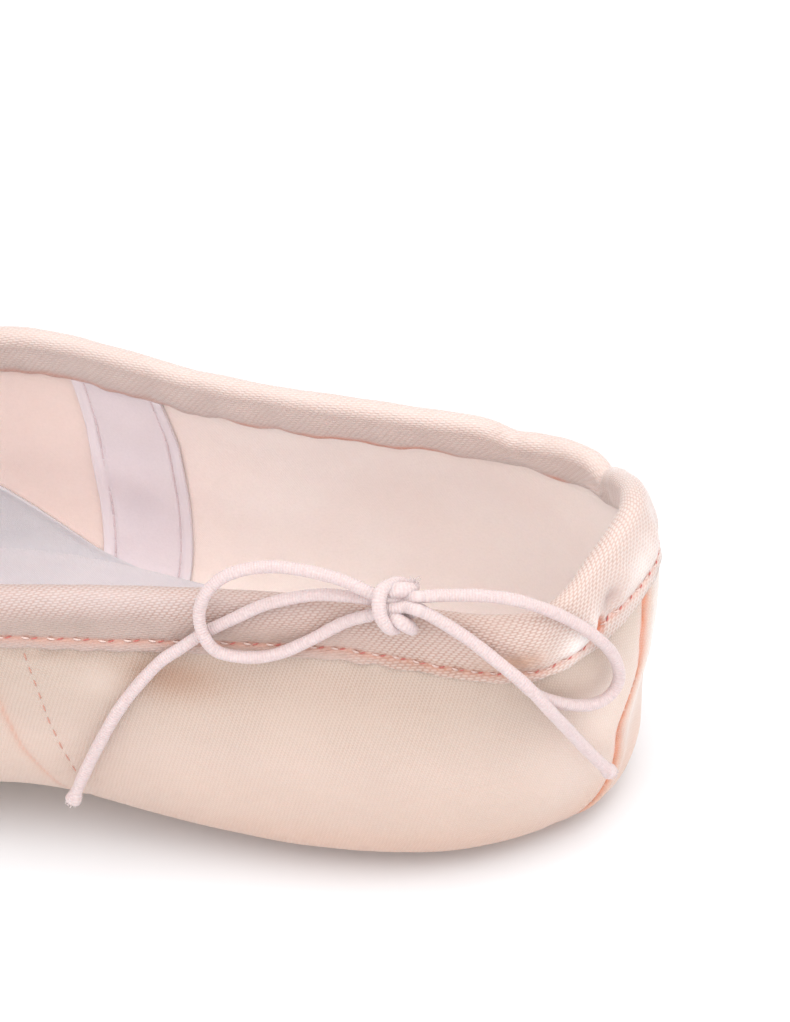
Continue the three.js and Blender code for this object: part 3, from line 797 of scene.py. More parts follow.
def casing_off(t, D, side, s):
    """outer face of the drawstring casing, mm outwards of the wall"""
    ds, de = casing_row(t)
    ph = np.interp(t, PH_T, PH_N) * 2 * np.pi
    heel = 1 - smooth(t, 2.2, 3.4)
    q = np.clip(D / ds, 0, 1)
    flat = gauss(t, 0.85)
    puff = (0.38 + 1.10 * np.sin(np.pi * np.clip(q, 0, 1) ** 0.86) ** 0.9) * (1 - 0.62 * flat)
    lip = 0.58 - 0.14 * flat + 0.0 * D
    off = np.where(D < ds, puff, lip)
    off = off - 0.34 * gauss(D - ds, 0.55) * (0.75 + 0.25 * np.cos(ph))
    # pulled puckers round each stitch, and longer gathers that run up from them
    off = off + 0.07 * np.cos(ph) * gauss(D - ds, 1.6)
    g = ripples(s, 31 if np.ndim(side) else 31, 7.0) * (0.16 + 0.20 * heel)
    g2 = ripples(s + 0.4 * D, 37, 3.4) * (0.05 + 0.07 * heel)
    off = off + (g * gauss(D - 7.2, 3.4) + g2 * gauss(D - 7.0, 2.6)) * (D < ds + 1)
    off = off + 0.16 * waves(s, D * 1.5, 43, 14) * np.sin(np.pi * np.clip(q, 0, 1)) ** 0.5
    near = side > 0
    # a tuck and a soft hollow in the tape at the corner of the heel, and the
    # hollow that the drawstring draws in beside the bow
    off = off - near * 1.7 * gauss(t - 1.23, 0.05) * gauss(D - 8.9, 1.0)
    off = off + near * 0.50 * gauss(t - 1.36, 0.07) * gauss(D - 7.4, 2.6)
    off = off + near * 0.30 * gauss(t - 1.14, 0.04) * gauss(D - 9.0, 1.6)
    off = off - near * 1.05 * gauss(t - 1.00, 0.12) * gauss(D - 7.2, 1.7)
    off = off - near * 0.60 * gauss(t - 2.90, 0.26) * gauss(D - 5.6, 2.2)
    off = off - near * 0.45 * gauss(t - 2.25, 0.12) * gauss(D - 7.4, 1.8)
    off = off - near * 0.45 * gauss(t - 4.95, 0.35) * gauss(D - 6.2, 2.0)
    # the hollows stop where the tape lies on the upper
    low = off + 0.16
    off = -0.16 + 0.5 * (low + np.sqrt(low * low + 0.02))
    return off + knee(t, D)


def casing_inner(t, D, side, s):
    roll = 0.5 + 0.65 * np.sin(np.pi * np.clip(D / 8.6, 0, 1)) ** 0.8
    r = ripples(s, 53, 13.0) * 0.22 + ripples(s, 57, 5.5) * 0.06
    # the tape rolls inwards more at the back of the heel
    back = np.where(side > 0, 2.3 * gauss(t, 0.95), 2.3 * gauss(t, 0.62))
    return roll + r * gauss(D - 5.5, 3.0) + back * (0.35 + 0.65 * np.sin(np.pi * np.clip(D / 9.5, 0, 1)))


def top_dip(t, side):
    """how far the rolled top drops, mm: two notches on the far side"""
    far = (side < 0) * 1.0
    d = 1.15 * gauss(t - 2.72, 0.10) + 0.45 * gauss(t - 2.56, 0.16) + 1.15 * gauss(t - 1.72, 0.11)
    d = d + 0.45 * smooth(t, 1.15, 1.5) * (1 - smooth(t, 3.2, 4.0)) + 0.75 * gauss(t - 2.5, 0.34) + 1.1 * gauss(t - 1.78, 0.17) + 0.65 * gauss(t - 1.62, 0.36)
    return far * (d - 0.30 * gauss(t - 2.32, 0.14) - 0.35 * gauss(t - 2.98, 0.14) - 0.15 * gauss(t - 1.2, 0.30))


def build_casing():
    n = 470
    t, side = both_sides(spaced(s_of, n, lambda t: 1 + 0.9 * gauss(t - 1.5, 0.5)))
    R = Ribs(t, side)
    T, S = t[:, None], side[:, None]
    s = s_of(t)[:, None] * S
    ds, de = casing_row(T)
    wall = R.wall[:, None]
    edge_wave = 0.14 * ripples(s, 61, 5.0)
    low = de + edge_wave
    rows, offs, mask = [], [], []

    def put(D, off, m=0.0):
        D = np.broadcast_to(D, (len(t), np.shape(D)[-1]))
        rows.append(D)
        offs.append(np.broadcast_to(off, D.shape))
        mask.append(np.broadcast_to(m, D.shape))
    # under the outer lip, round its edge and up the face
    kn = knee(T, low)
    put(ds * 0 + 6.4, -0.34 + knee(T, ds * 0 + 6.4))
    put(low - 2.3, -0.34 + knee(T, low - 2.3))
    put(np.concatenate([low - 0.35, low - 0.05], 1), 0.14 + kn)
    put(low + 0.12, 0.36 + kn)
    put(low - 0.02, 0.58 + kn)
    k = np.linspace(0, 1, 30)[None, :]
    D = low - 0.3 + (1.9 - low + 0.3) * k
    # painted shade: along the stitch row, and orange in the eyelet's hole
    eyelet_hole_shade = (S > 0) * gauss(T - 1.235, 0.06) * gauss(D - 9.1, 1.2)
    put(D, casing_off(T, D, S, s), 0.34 * gauss(D - ds, 0.35) + 0.12 * gauss(D - ds - 0.5, 0.5) + 1.2 * eyelet_hole_shade)
    # round the rolled top
    a = np.linspace(0, np.pi, 15)[1:-1][None, :]
    Dt = 1.9 + 0 * s
    out = casing_off(T, Dt, S, s)
    inn = -(wall * 0 + 1.75 + casing_inner(T, Dt, S, s))
    mid, half = (out + inn) / 2, (out - inn) / 2
    crown = 1 + 0.10 * ripples(s, 71, 9.0)
    put(Dt - (Dt + 0.25 * crown) * np.sin(a) ** 1.0, mid + half * np.cos(a))
    # painted shadow: a reddish band under the inner roll of the tape on the far side
    patch = (0.9 * gauss(T - 3.9, 0.42) + 0.7 * gauss(T - 3.35, 0.25) + 0.6 * gauss(T - 4.52, 0.12) + 0.8 * gauss(T - 2.38, 0.10)
             + 0.5 * smooth(T, 4.6, 5.4) * (1 - smooth(T, 6.6, 7.4))) * (S < 0)
    # down the inside
    end = 8.3 + 0.5 * ripples(s, 73, 14.0) + 0.2 * ripples(s, 79, 6.0)
    k = np.linspace(0, 1, 18)[None, :]
    D = 1.9 + (end - 1.9) * k
    tuck = smooth(k, 0.72, 1.0)
    base = 1.75 + (wall - 1.75 + 0.15) * smooth(D, 2, 7)
    put(D, -(base + casing_inner(T, D, S, s) * (1 - tuck) + 0.45 * tuck), patch * smooth(k, 0.62, 1.0))
    put(end + 0.15, -(wall + 0.16), patch)
    put(end - 0.6, -(wall + 0.12))
    put(ds * 0 + 6.4, -(wall + 0.12))
    D = np.concatenate(rows, 1)
    P = R.at(D + top_dip(T, S) * (1 - smooth(D, 2.5, 7.5)), np.concatenate(offs, 1))
    # the cloth's own length over the roll and down the inside
    V = np.array(D)
    face = 35
    run = np.linalg.norm(np.diff(P, axis=1), axis=2).mean(0)
    V[:, face + 1:] = V[:, face:face + 1] - np.cumsum(run[face:])[None, :]
    F = np.stack([np.broadcast_to(s, D.shape), V, np.concatenate(mask, 1)], -1)
    N, M = P.shape[:2]
    faces = outward(P.reshape(-1, 3), grid_faces(N, M, True, True))
    ob = make_mesh("collar_casing", P.reshape(-1, 3), faces, F.reshape(-1, 3), (SATIN_TAPE,))
    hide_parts("collar_binding")
    return ob


CASING_OB = build_casing()


# ------------------------------------------------------------------ sheets inside and below
def welded(verts, quads):
    key = np.round(np.asarray(verts) * 200).astype(np.int64)
    _, first, back = np.unique(key, axis=0, return_index=True, return_inverse=True)
    back = back.reshape(-1)
    q = back[quads]
    tri = []
    for a in ((0, 1, 2), (0, 2, 3)):
        t = q[:, a]
        tri.append(t[(t[:, 0] != t[:, 1]) & (t[:, 1] != t[:, 2]) & (t[:, 0] != t[:, 2])])
    return np.asarray(verts)[first], np.concatenate(tri), first


def disc(name, section, mats, n=150, mat_of=None):
    """a closed sheet that spans the shoe. section gives, for each rib, the
    points from the centre of the lower face out and back to the centre of
    the upper one: r, z, inset, fabric value"""
    t, side = both_sides(spaced(u_of, n, lambda t: 1 + 0 * t))
    R = Ribs(t, side)
    r, z, inset, m = section(R)
    P = np.empty(r.shape + (3,))
    for i in range(r.shape[1]):
        P[:, i] = R.place(r[:, i:i + 1], z[:, i:i + 1], inset[:, i:i + 1])[:, 0]
    faces = grid_faces(P.shape[0], P.shape[1], True, False)
    F = np.stack([P[..., 0], P[..., 1], m], -1).reshape(-1, 3)
    v, tri, first = welded(P.reshape(-1, 3), faces)
    return make_mesh(name, v, outward(v, tri), F[first], mats)


def insole_section(R):
    wall = R.wall[:, None]
    k = np.linspace(0, 1, 26)[None, :] ** 0.85
    thick = 1.6
    foot = R.rs[:, None]
    q = foot * k
    z0 = bottom_z(R.ox[:, None] + q * R.dx[:, None]) + wall + 0.3
    up = np.linspace(0, 1, 9)[1:][None, :]
    arc = R.length[:, None] - up * 3.0

    def wall_pts(off):
        out_r, out_z = np.empty((len(R.t), 8)), np.empty((len(R.t), 8))
        for i in range(len(R.t)):
            x = R.back[i, ::-1]
            a = [np.interp(arc[i], x, v[i, ::-1]) for v in (R.r, R.z, R.tr, R.tz)]
            out_r[i] = a[0] - off[i] * a[3]
            out_z[i] = a[1] + off[i] * a[2]
        return out_r, out_z
    lr, lz = wall_pts(wall + 0.3)
    ur, uz = wall_pts(wall + 0.3 + thick)
    x, y = R.ox[:, None] + q * R.dx[:, None], q * R.dy[:, None] * R.side[:, None]
    crown = 0.10 * waves(x, y, 91, 34) + 0.35 * np.exp(-(q / 14) ** 2)
    crown = crown * (1 - smooth(k, 0.85, 1.0))
    top = z0 + thick + crown
    r = np.concatenate([q, lr, ur[:, ::-1], q[:, ::-1]], 1)
    z = np.concatenate([z0, lz, uz[:, ::-1], top[:, ::-1]], 1)
    inset = np.concatenate([wall + 0.3 + 0 * q, wall + 0.3 + 0 * lr, wall + 1.9 + 0 * ur, wall + 1.9 + 0 * q], 1)
    return r, z, inset, 0 * r


INSOLE = disc("insole_cover", insole_section, (CANVAS,))
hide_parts("insole")


def outsole_section(R):
    edge = R.sole[:, None]
    k = np.linspace(0, 1, 22)[None, :] ** 0.8
    q = (edge - 0.5) * k
    x, y = R.ox[:, None] + q * R.dx[:, None], q * R.dy[:, None] * R.side[:, None]
    base = bottom_z(x) - UPPER_BOTTOM
    grain = 0.05 * waves(x, y, 97, 9) * 0
    a = np.linspace(-90, 90, 9)[None, :] * np.pi / 180
    er = edge - 0.5 + 0.5 * np.cos(a) + 0.06 * ripples(u_of(R.t)[:, None] * R.side[:, None], 99, 9)
    ez = bottom_z(R.ox[:, None] + edge * R.dx[:, None]) - UPPER_BOTTOM + 1.1 + 1.1 * np.sin(a)
    top = base + 2.2
    r = np.concatenate([q, er, q[:, ::-1]], 1)
    z = np.concatenate([base + grain, ez, top[:, ::-1]], 1)
    m = np.concatenate([smooth(k, 0.86, 1.0) + 0 * q, 1 + 0 * er, 0 * q + 1], 1)
    return r, np.maximum(z, 0.0), 0 * r, m


OUTSOLE = disc("outsole_leather", outsole_section, (LEATHER,))
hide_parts("outsole")


def strip(name, t, side, D, off_in, off_out, mats, fabric=None, wrap=False):
    """a closed sheet lying on the inside of the wall: (n, m) grids of D and
    of the offsets of its hidden and its shown face"""
    R = Ribs(t, side)
    a, b = R.at(D, off_in), R.at(D, off_out)
    P = np.concatenate([a, b[:, ::-1]], 1)
    n, m = P.shape[:2]
    quads = grid_faces(n, m, wrap, True)
    if not wrap:
        h = m // 2
        j = np.arange(h - 1)
        cap = [np.stack([e * m + j, e * m + j + 1, e * m + m - 2 - j, e * m + m - 1 - j], -1) for e in (0, n - 1)]
        quads = np.concatenate([quads, cap[0][:, ::-1], cap[1]])
    F = np.zeros(P.shape)
    s = u_of(t) * side
    F[..., 0] = s[:, None]
    F[..., 1] = np.concatenate([D, D[:, ::-1]], 1)
    if fabric is not None:
        F[..., 2] = np.concatenate([fabric, fabric[:, ::-1]], 1)
    faces = outward(P.reshape(-1, 3), quads)
    return make_mesh(name, P.reshape(-1, 3), faces, F.reshape(-1, 3), mats)


# the white lining of the box: its edge rises in a slant from the insole to
# the opening: rib number and mm above the turn of the wall
BOX_EDGE = np.array([(4.85, 0.6), (5.0, 2.0), (5.3, 3.6), (5.5, 5.7), (5.6, 6.9), (5.9, 11.4), (6.3, 17.7), (6.5, 22.6), (6.8, 31.0), (7.05, 43.0)])


def build_box_lining():
    th = np.concatenate([np.linspace(4.85, 7.1, 90), np.linspace(7.1, TMAX, 110)[1:]])
    t = np.concatenate([th, th[-2::-1]])
    side = np.concatenate([np.ones(len(th)), -np.ones(len(th) - 1)])
    R = Ribs(t, side)
    L = R.length[:, None]
    full = L - 9.4
    a = np.where(t < 7.05, np.interp(t, BOX_EDGE[:, 0], BOX_EDGE[:, 1]), 200)[:, None]
    # the edge climbs steeply near its end, and stops under the casing
    up = np.minimum(a, full)
    k = np.linspace(0, 1, 56)[None, :]
    D = (L + 1.5) - (up + 1.5) * k
    wall = R.wall[:, None]
    over_tape = gauss(t - 5.0, 0.55)[:, None]
    lift = 0.12 + 0.55 * over_tape
    bumpy = 0.16 * waves(u_of(t)[:, None] * side[:, None], D, 103, 16)
    inner = -(wall + lift)
    turned = 0.28 * gauss((k - 1) * (up + 1.5), 1.1)
    outer = inner - 0.5 - turned - bumpy * smooth(k, 0, 0.2) * 0.6
    return strip("box_lining", t, side, D, inner + 0 * D, outer + 0 * D, (CANVAS,))


BOX = build_box_lining()

# cotton tape down the inside of each side: distance from the heel of its two
# edges at heights above the floor, mm
TAPE_EDGES = np.array([(8, 87.0, 101.8), (14, 87.1, 102.4), (24, 87.4, 103.3), (35, 88.2, 104.3), (46, 90.4, 106.2), (56, 92.6, 108.4)])


def build_tape(name, sd):
    n, m = 44, 90
    w = np.linspace(0, 1, n)
    L0 = Ribs(t_of_x(np.array([95.0])), sd).length[0]
    D1 = np.linspace(8.2, L0 - 1.2, m)
    ref = Ribs(t_of_x(np.array([95.0])), sd)
    z = np.interp(D1, ref.back[0, ::-1], ref.z[0, ::-1])
    lo, hi = np.interp(z, TAPE_EDGES[:, 0], TAPE_EDGES[:, 1]), np.interp(z, TAPE_EDGES[:, 0], TAPE_EDGES[:, 2])
    verts, fab = [], []
    quad_t = np.empty((n, m))
    for j in range(m):
        quad_t[:, j] = t_of_x(lo[j] + (hi[j] - lo[j]) * w)
    P = np.empty((n, 2 * m, 3))
    F = np.zeros((n, 2 * m, 3))
    width = (hi - lo)[None, :]
    e = np.minimum(w[:, None] * width, (1 - w[:, None]) * width)     # mm from the nearer edge
    rise = 0.34 + 0.20 * np.exp(-(e / 1.5) ** 4) - 0.26 * gauss(e - 2.0, 0.32) + 0.10 * waves(w[:, None] * width, D1[None, :], 107, 12)
    # soft buckles where the tape is sewn to the curved wall
    rise = rise + 0.16 * np.sin(D1[None, :] * 2 * np.pi / 13 + 1.2 * w[:, None]) * gauss(w[:, None] - 0.5, 0.35)
    for j in range(m):
        R = Ribs(quad_t[:, j], sd)
        # the wall's own arc differs a little from rib to rib
        Dj = (D1[j] - 8.2) / (L0 - 1.2 - 8.2) * (R.length - 1.2 - 8.2) + 8.2
        P[:, j] = R.at(Dj[:, None], -(R.wall + 0.16)[:, None])[:, 0]
        P[:, 2 * m - 1 - j] = R.at(Dj[:, None], -(R.wall + 0.16 + rise[:, j])[:, None])[:, 0]
        F[:, j, 0] = F[:, 2 * m - 1 - j, 0] = w * 16
        F[:, j, 1] = F[:, 2 * m - 1 - j, 1] = D1[j]
        F[:, j, 2] = F[:, 2 * m - 1 - j, 2] = 1 / (1 + np.exp((e[:, j] - 1.55) * 8))
    quads = grid_faces(n, 2 * m, False, True)
    M = 2 * m
    j = np.arange(m - 1)
    cap = [np.stack([q * M + j, q * M + j + 1, q * M + M - 2 - j, q * M + M - 1 - j], -1) for q in (0, n - 1)]
    quads = np.concatenate([quads, cap[0][:, ::-1], cap[1]])
    v = P.reshape(-1, 3)
    ob = make_mesh(name, v, outward(v, quads), F.reshape(-1, 3), (TAPE,))
    # stitch lines along both edges
    lines = []
    for edge in (2.0, None):
        pts = []
        for j in range(m):
            x = lo[j] + 2.0 if edge else hi[j] - 2.0
            R = Ribs(t_of_x(np.array([x])), sd)
            Dj = (D1[j] - 8.2) / (L0 - 1.2 - 8.2) * (R.length - 1.2 - 8.2) + 8.2
            pts.append(R.at(Dj[:, None], -(R.wall + 0.16 + 0.20)[:, None])[0, 0])
        lines.append(np.array(pts))
    return ob, lines


TAPE_L, TAPE_LINES_L = build_tape("side_tape_left", -1)
TAPE_R, TAPE_LINES_R = build_tape("side_tape_right", 1)


# ------------------------------------------------------------------ stitches
class Bits:
    """many small round-ended rods joined in one mesh"""
    RING = 8

    def __init__(self):
        self.v, self.f, self.fab, self.n = [], [], [], 0

    def rod(self, line, radius, flat=1.0, up=None):
        """line: (k,3) points; radius: number or (k,) radii; ends are rounded"""
        line = np.asarray(line, float)
        k = len(line)
        rad = np.broadcast_to(np.asarray(radius, float), (k,))
        T, N, B = frames(line)
        if up is not None:
            B = np.cross(T, np.broadcast_to(up, T.shape))
            B /= np.linalg.norm(B, axis=1)[:, None]
            N = np.cross(B, T)
        a = np.linspace(0, 2 * np.pi, self.RING, endpoint=False)
        s = np.concatenate([[0], np.cumsum(np.linalg.norm(np.diff(line, axis=0), axis=1))])
        ring = line[:, None] + rad[:, None, None] * (np.cos(a)[None, :, None] * N[:, None] * flat + np.sin(a)[None, :, None] * B[:, None])
        e0, e1 = line[0] - T[0] * rad[0] * 0.5, line[-1] + T[-1] * rad[-1] * 0.5
        v = np.concatenate([ring.reshape(-1, 3), [e0, e1]])
        m = self.RING
        q = grid_faces(k, m, False, True)
        tri = np.concatenate([q[:, [0, 1, 2]], q[:, [0, 2, 3]]])
        j = np.arange(m)
        c0 = np.stack([np.full(m, k * m), (j + 1) % m, j], -1)
        c1 = np.stack([np.full(m, k * m + 1), (k - 1) * m + j, (k - 1) * m + (j + 1) % m], -1)
        tri = np.concatenate([tri, c0[:, ::-1], c1[:, ::-1]])
        tri = outward(v - v.mean(0), tri)
        fab = np.zeros((len(v), 3))
        fab[:k * m, 0] = np.repeat(s, m)
        fab[:k * m, 1] = np.tile(a * rad.mean(), k)
        self.v.append(v)
        self.f.append(tri + self.n)
        self.fab.append(fab)
        self.n += len(v)

    def mesh(self, name, mat):
        return make_mesh(name, np.concatenate(self.v), np.concatenate(self.f), np.concatenate(self.fab), (mat,))


def bend_rod(a, b, lift, up, k=5):
    """points from a to b, bowed towards up"""
    w = np.linspace(0, 1, k)[:, None]
    return a * (1 - w) + b * w + up * (lift * np.sin(np.pi * w))


def casing_stitches():
    dark, pale = Bits(), Bits()
    rng = np.random.default_rng(7)
    total = int(PH_N[-1])
    for sd in (1, -1):
        for i in range(total):
            mid = i + 0.5
            span = []
            for f in (-0.28, -0.03, 0.05, 0.36):
                span.append(np.interp(mid + f, PH_N, PH_T))
            j = rng.uniform(-0.12, 0.12, 3)
            t = np.array(span)
            R = Ribs(t, sd)
            ds, de = casing_row(t)
            D = ds + np.array([-0.16, 0.12, 0.02, -0.10]) * (0.9 + j[0]) + j[1] * 0.4
            s = s_of(t) * sd
            off = casing_off(t[:, None], D[:, None], np.full((4, 1), float(sd)), s[:, None])
            p = R.at(D[:, None], off + 0.05)[:, 0]
            q = R.at(D[:, None], off + 1.05)[:, 0]
            up = (q - p)
            up /= np.linalg.norm(up, axis=1)[:, None]
            # painted shade: a short dark-red dash for the shadow in the stitch hole
            dark.rod(bend_rod(p[0], p[1], 0.07, up[0]), np.array([0.06, 0.10, 0.12, 0.10, 0.06]) * (1 + 0.8 * j[2]), up=up[0])
            w = np.linspace(0, 1, 7)
            r = (0.13 * np.sin(np.pi * (0.12 + 0.76 * w)) + 0.05) * (0.8 + 0.2 * smooth(t[2], 2.0, 3.0))
            pale.rod(bend_rod(p[2], p[3], 0.17, up[2], 7), r, up=up[2])
    dark.mesh("casing_stitches", STITCH_HOLE_SHADE)
    pale.mesh("casing_thread", STITCH_PALE)


def surface_line(pts, sd, off, step):
    """points every step mm along a line given by (D, distance from heel)"""
    pts = np.asarray(pts, float)
    d = np.linspace(pts[0, 0], pts[-1, 0], 400)
    x = np.interp(d, pts[:, 0], pts[:, 1])
    t = t_of_x(x)
    keep = d < Ribs(t, sd).length - 0.5
    d, t = d[keep], t[keep]
    R = Ribs(t, sd)
    base = upper_off(t[:, None], d[:, None], np.full((len(t), 1), float(sd)))
    p = R.at(d[:, None], base + off)[:, 0]
    up = R.at(d[:, None], base + off + 1)[:, 0] - p
    s = np.concatenate([[0], np.cumsum(np.linalg.norm(np.diff(p, axis=0), axis=1))])
    k = np.arange(0, s[-1], step)
    f = lambda a: np.stack([np.interp(k, s, a[:, j]) for j in range(3)], -1)
    return f(p), f(up)


def side_stitches():
    bits = Bits()
    for sd in (1, -1):
        p, up = surface_line(SIDE_STITCH, sd, 0.05, 0.26)
        for i in range(2, len(p) - 7, 10):
            bits.rod(p[i:i + 6], np.array([0.07, 0.11, 0.12, 0.12, 0.11, 0.07]), up=up[i])
    bits.mesh("side_seam_stitches", STITCH_SIDE)


def tape_stitches():
    bits = Bits()
    for line in TAPE_LINES_L + TAPE_LINES_R:
        s = np.concatenate([[0], np.cumsum(np.linalg.norm(np.diff(line, axis=0), axis=1))])
        k = np.arange(0.5, s[-1] - 1.8, 2.2)
        for a in k:
            q = np.linspace(a, a + 1.85, 5)
            bits.rod(np.stack([np.interp(q, s, line[:, j]) for j in range(3)], -1), 0.12)
    bits.mesh("tape_stitches", thread_material("tape_thread", (226, 202, 205), (232, 212, 215)))


casing_stitches()
side_stitches()
tape_stitches()

# ------------------------------------------------------------------ drawstring
STRANDS = {
    "drawstring_loop_left": [
        (41.4, 28.4, 57.1), (46.2, 27.4, 58.2), (52.4, 27.4, 59.4), (57.6, 27.8, 59.6), (63.1, 28.8, 58.3),
        (66.4, 30.0, 55.7), (67.8, 31.1, 52.0), (67.1, 32.1, 48.3), (65.0, 32.0, 45.3), (60.6, 31.0, 44.0),
        (56.3, 30.2, 44.6), (51.2, 29.1, 47.1), (45.8, 28.1, 50.5), (41.4, 28.5, 52.9)],
    "drawstring_loop_right": [
        (33.4, 28.2, 57.2), (30.1, 26.5, 56.5), (25.1, 25.5, 56.3), (20.7, 24.4, 55.3), (16.6, 22.6, 52.8),
        (12.5, 20.5, 49.1), (8.8, 18.4, 44.3), (6.8, 16.5, 39.5), (6.2, 15.5, 34.6), (7.3, 16.8, 32.0),
        (9.7, 19.7, 32.0), (13.2, 23.3, 34.6), (16.7, 26.4, 38.5), (19.4, 27.3, 42.1), (23.1, 27.5, 45.8),
        (27.6, 27.3, 49.6), (33.4, 27.7, 53.8)],
    "drawstring_tail_left": [
        (41.7, 26.8, 54.5), (45.8, 26.8, 54.6), (50.0, 27.0, 54.5), (54.4, 27.3, 53.4), (58.7, 28.0, 52.0),
        (63.0, 29.0, 49.8), (67.4, 30.0, 47.3), (71.4, 31.2, 44.5), (74.4, 32.1, 42.3), (77.8, 33.1, 38.3),
        (81.4, 34.3, 33.2), (84.6, 35.0, 27.0), (87.7, 35.5, 20.4), (89.8, 36.0, 15.1)],
    "drawstring_tail_right": [
        (33.2, 29.8, 55.6), (31.2, 29.3, 54.2), (26.9, 29.0, 50.9), (22.0, 29.2, 46.8), (18.1, 28.9, 42.7),
        (14.8, 27.6, 37.0), (12.1, 23.9, 29.2), (9.6, 20.1, 21.6), (7.8, 17.4, 16.5)],
}
def cord_tube(line, radius, ring=20, seed=0, ribs=0.016, start=0.0):
    """vertices, faces and cloth coordinates of a braided cord"""
    T, N, B = frames(line)
    s = np.concatenate([[0], np.cumsum(np.linalg.norm(np.diff(line, axis=0), axis=1))]) + start
    a = np.linspace(0, 2 * np.pi, ring, endpoint=False)
    rad = np.broadcast_to(np.asarray(radius, float), s.shape)[:, None]
    zig = 0.35 * np.sin(a * 7)[None, :]
    r = rad * (1 + ribs * np.sin(2 * np.pi * s[:, None] / RIB + zig))
    r = r * (1 + 0.02 * np.sin(s[:, None] * 0.9 + seed) + 0.015 * np.sin(3 * a[None, :] + s[:, None] * 0.5 + seed))
    V = line[:, None] + r[..., None] * (np.cos(a)[None, :, None] * N[:, None] + np.sin(a)[None, :, None] * B[:, None])
    F = np.zeros(V.shape)
    F[..., 0] = s[:, None]
    F[..., 1] = np.cos(a)[None, :] * CORD / 2
    F[..., 2] = np.sin(a)[None, :] * CORD / 2
    k, m = V.shape[:2]
    v = np.concatenate([V.reshape(-1, 3), [line[0] - T[0] * 0.05, line[-1] + T[-1] * 0.25 * rad[-1]]])
    q = grid_faces(k, m, False, True)
    tri = np.concatenate([q[:, [0, 1, 2]], q[:, [0, 2, 3]]])
    j = np.arange(m)
    c0 = np.stack([np.full(m, k * m), j, (j + 1) % m], -1)
    c1 = np.stack([np.full(m, k * m + 1), (k - 1) * m + (j + 1) % m, (k - 1) * m + j], -1)
    tri = np.concatenate([tri, c0, c1])
    fab = np.concatenate([F.reshape(-1, 3), [F[0, 0], F[-1, 0]]])
    return v, outward(v - v.mean(0), tri), fab


def build_cords():
    made = {}
    for i, (name, pts) in enumerate(STRANDS.items()):
        p = np.array(pts) - [XC, 0, 0]
        line, length = catmull(p, 0.106)
        s = np.linspace(0, length, len(line))
        rad = np.full(len(s), CORD / 2)
        rad = rad * (1 - 0.10 * smooth(0.25 - s, 0, 0.25))
        if "loop" in name:
            rad = rad * (1 - 0.10 * smooth(s, length - 0.25, length))
        if "tail" in name:
            # the cut end opens out a little
            rad = rad * (1 + 0.32 * smooth(s, length - 2.2, length - 0.3) - 0.05 * gauss(s - length + 3.2, 1.0))
        v, f, fab = cord_tube(line, rad, seed=i)
        ob = make_mesh(name + "_braid", v, f, fab, (ELASTIC,))
        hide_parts(name)
        made[name] = (line, length)
    return made


CORDS = build_cords()


def fray():
    """loose ends of the threads at both cut ends"""
    bits = Bits()
    rng = np.random.default_rng(23)
    for name in ("drawstring_tail_left", "drawstring_tail_right"):
        line, _ = CORDS[name]
        T, N, B = frames(line)
        end, t, n, b = line[-1], T[-1], N[-1], B[-1]
        for i in range(46):
            a = rng.uniform(0, 2 * np.pi)
            r = 1.2 * math.sqrt(rng.uniform(0.05, 1))
            d = math.cos(a) * n + math.sin(a) * b
            p0 = end + d * r * 0.9 - t * 0.5
            L = rng.uniform(0.5, 1.1)
            side = d * rng.uniform(0.0, 0.35) + rng.normal(0, 0.12, 3)
            w = np.linspace(0, 1, 5)[:, None]
            bits.rod(p0 + t * w * (L + 0.3) + side * w ** 2 * L, np.array([0.13, 0.13, 0.12, 0.10, 0.06]))
    return bits.mesh("drawstring_ends", ELASTIC)


FRAY = fray()


# ------------------------------------------------------------------ knot
def camera_axes():
    th, ph, ro = (math.radians(CAM[k]) for k in ("turn", "rise", "roll"))
    c = np.array([-math.sin(th) * math.cos(ph), math.cos(th) * math.cos(ph), math.sin(ph)])
    r = np.array([-math.cos(th), -math.sin(th), 0.0])
    u = np.cross(c, r)
    return c, r * math.cos(ro) + u * math.sin(ro), -r * math.sin(ro) + u * math.cos(ro)


KNOT_AT = np.array([37.5 - XC, 28.9, 55.6])


def facing(a, b, w):
    """a point of the knot: a mm towards the heel and b mm up across its face,
    w mm out of it. The knot's face looks out and up over the side."""
    c, r, u = camera_axes()
    return KNOT_AT + a * r + b * u + w * c


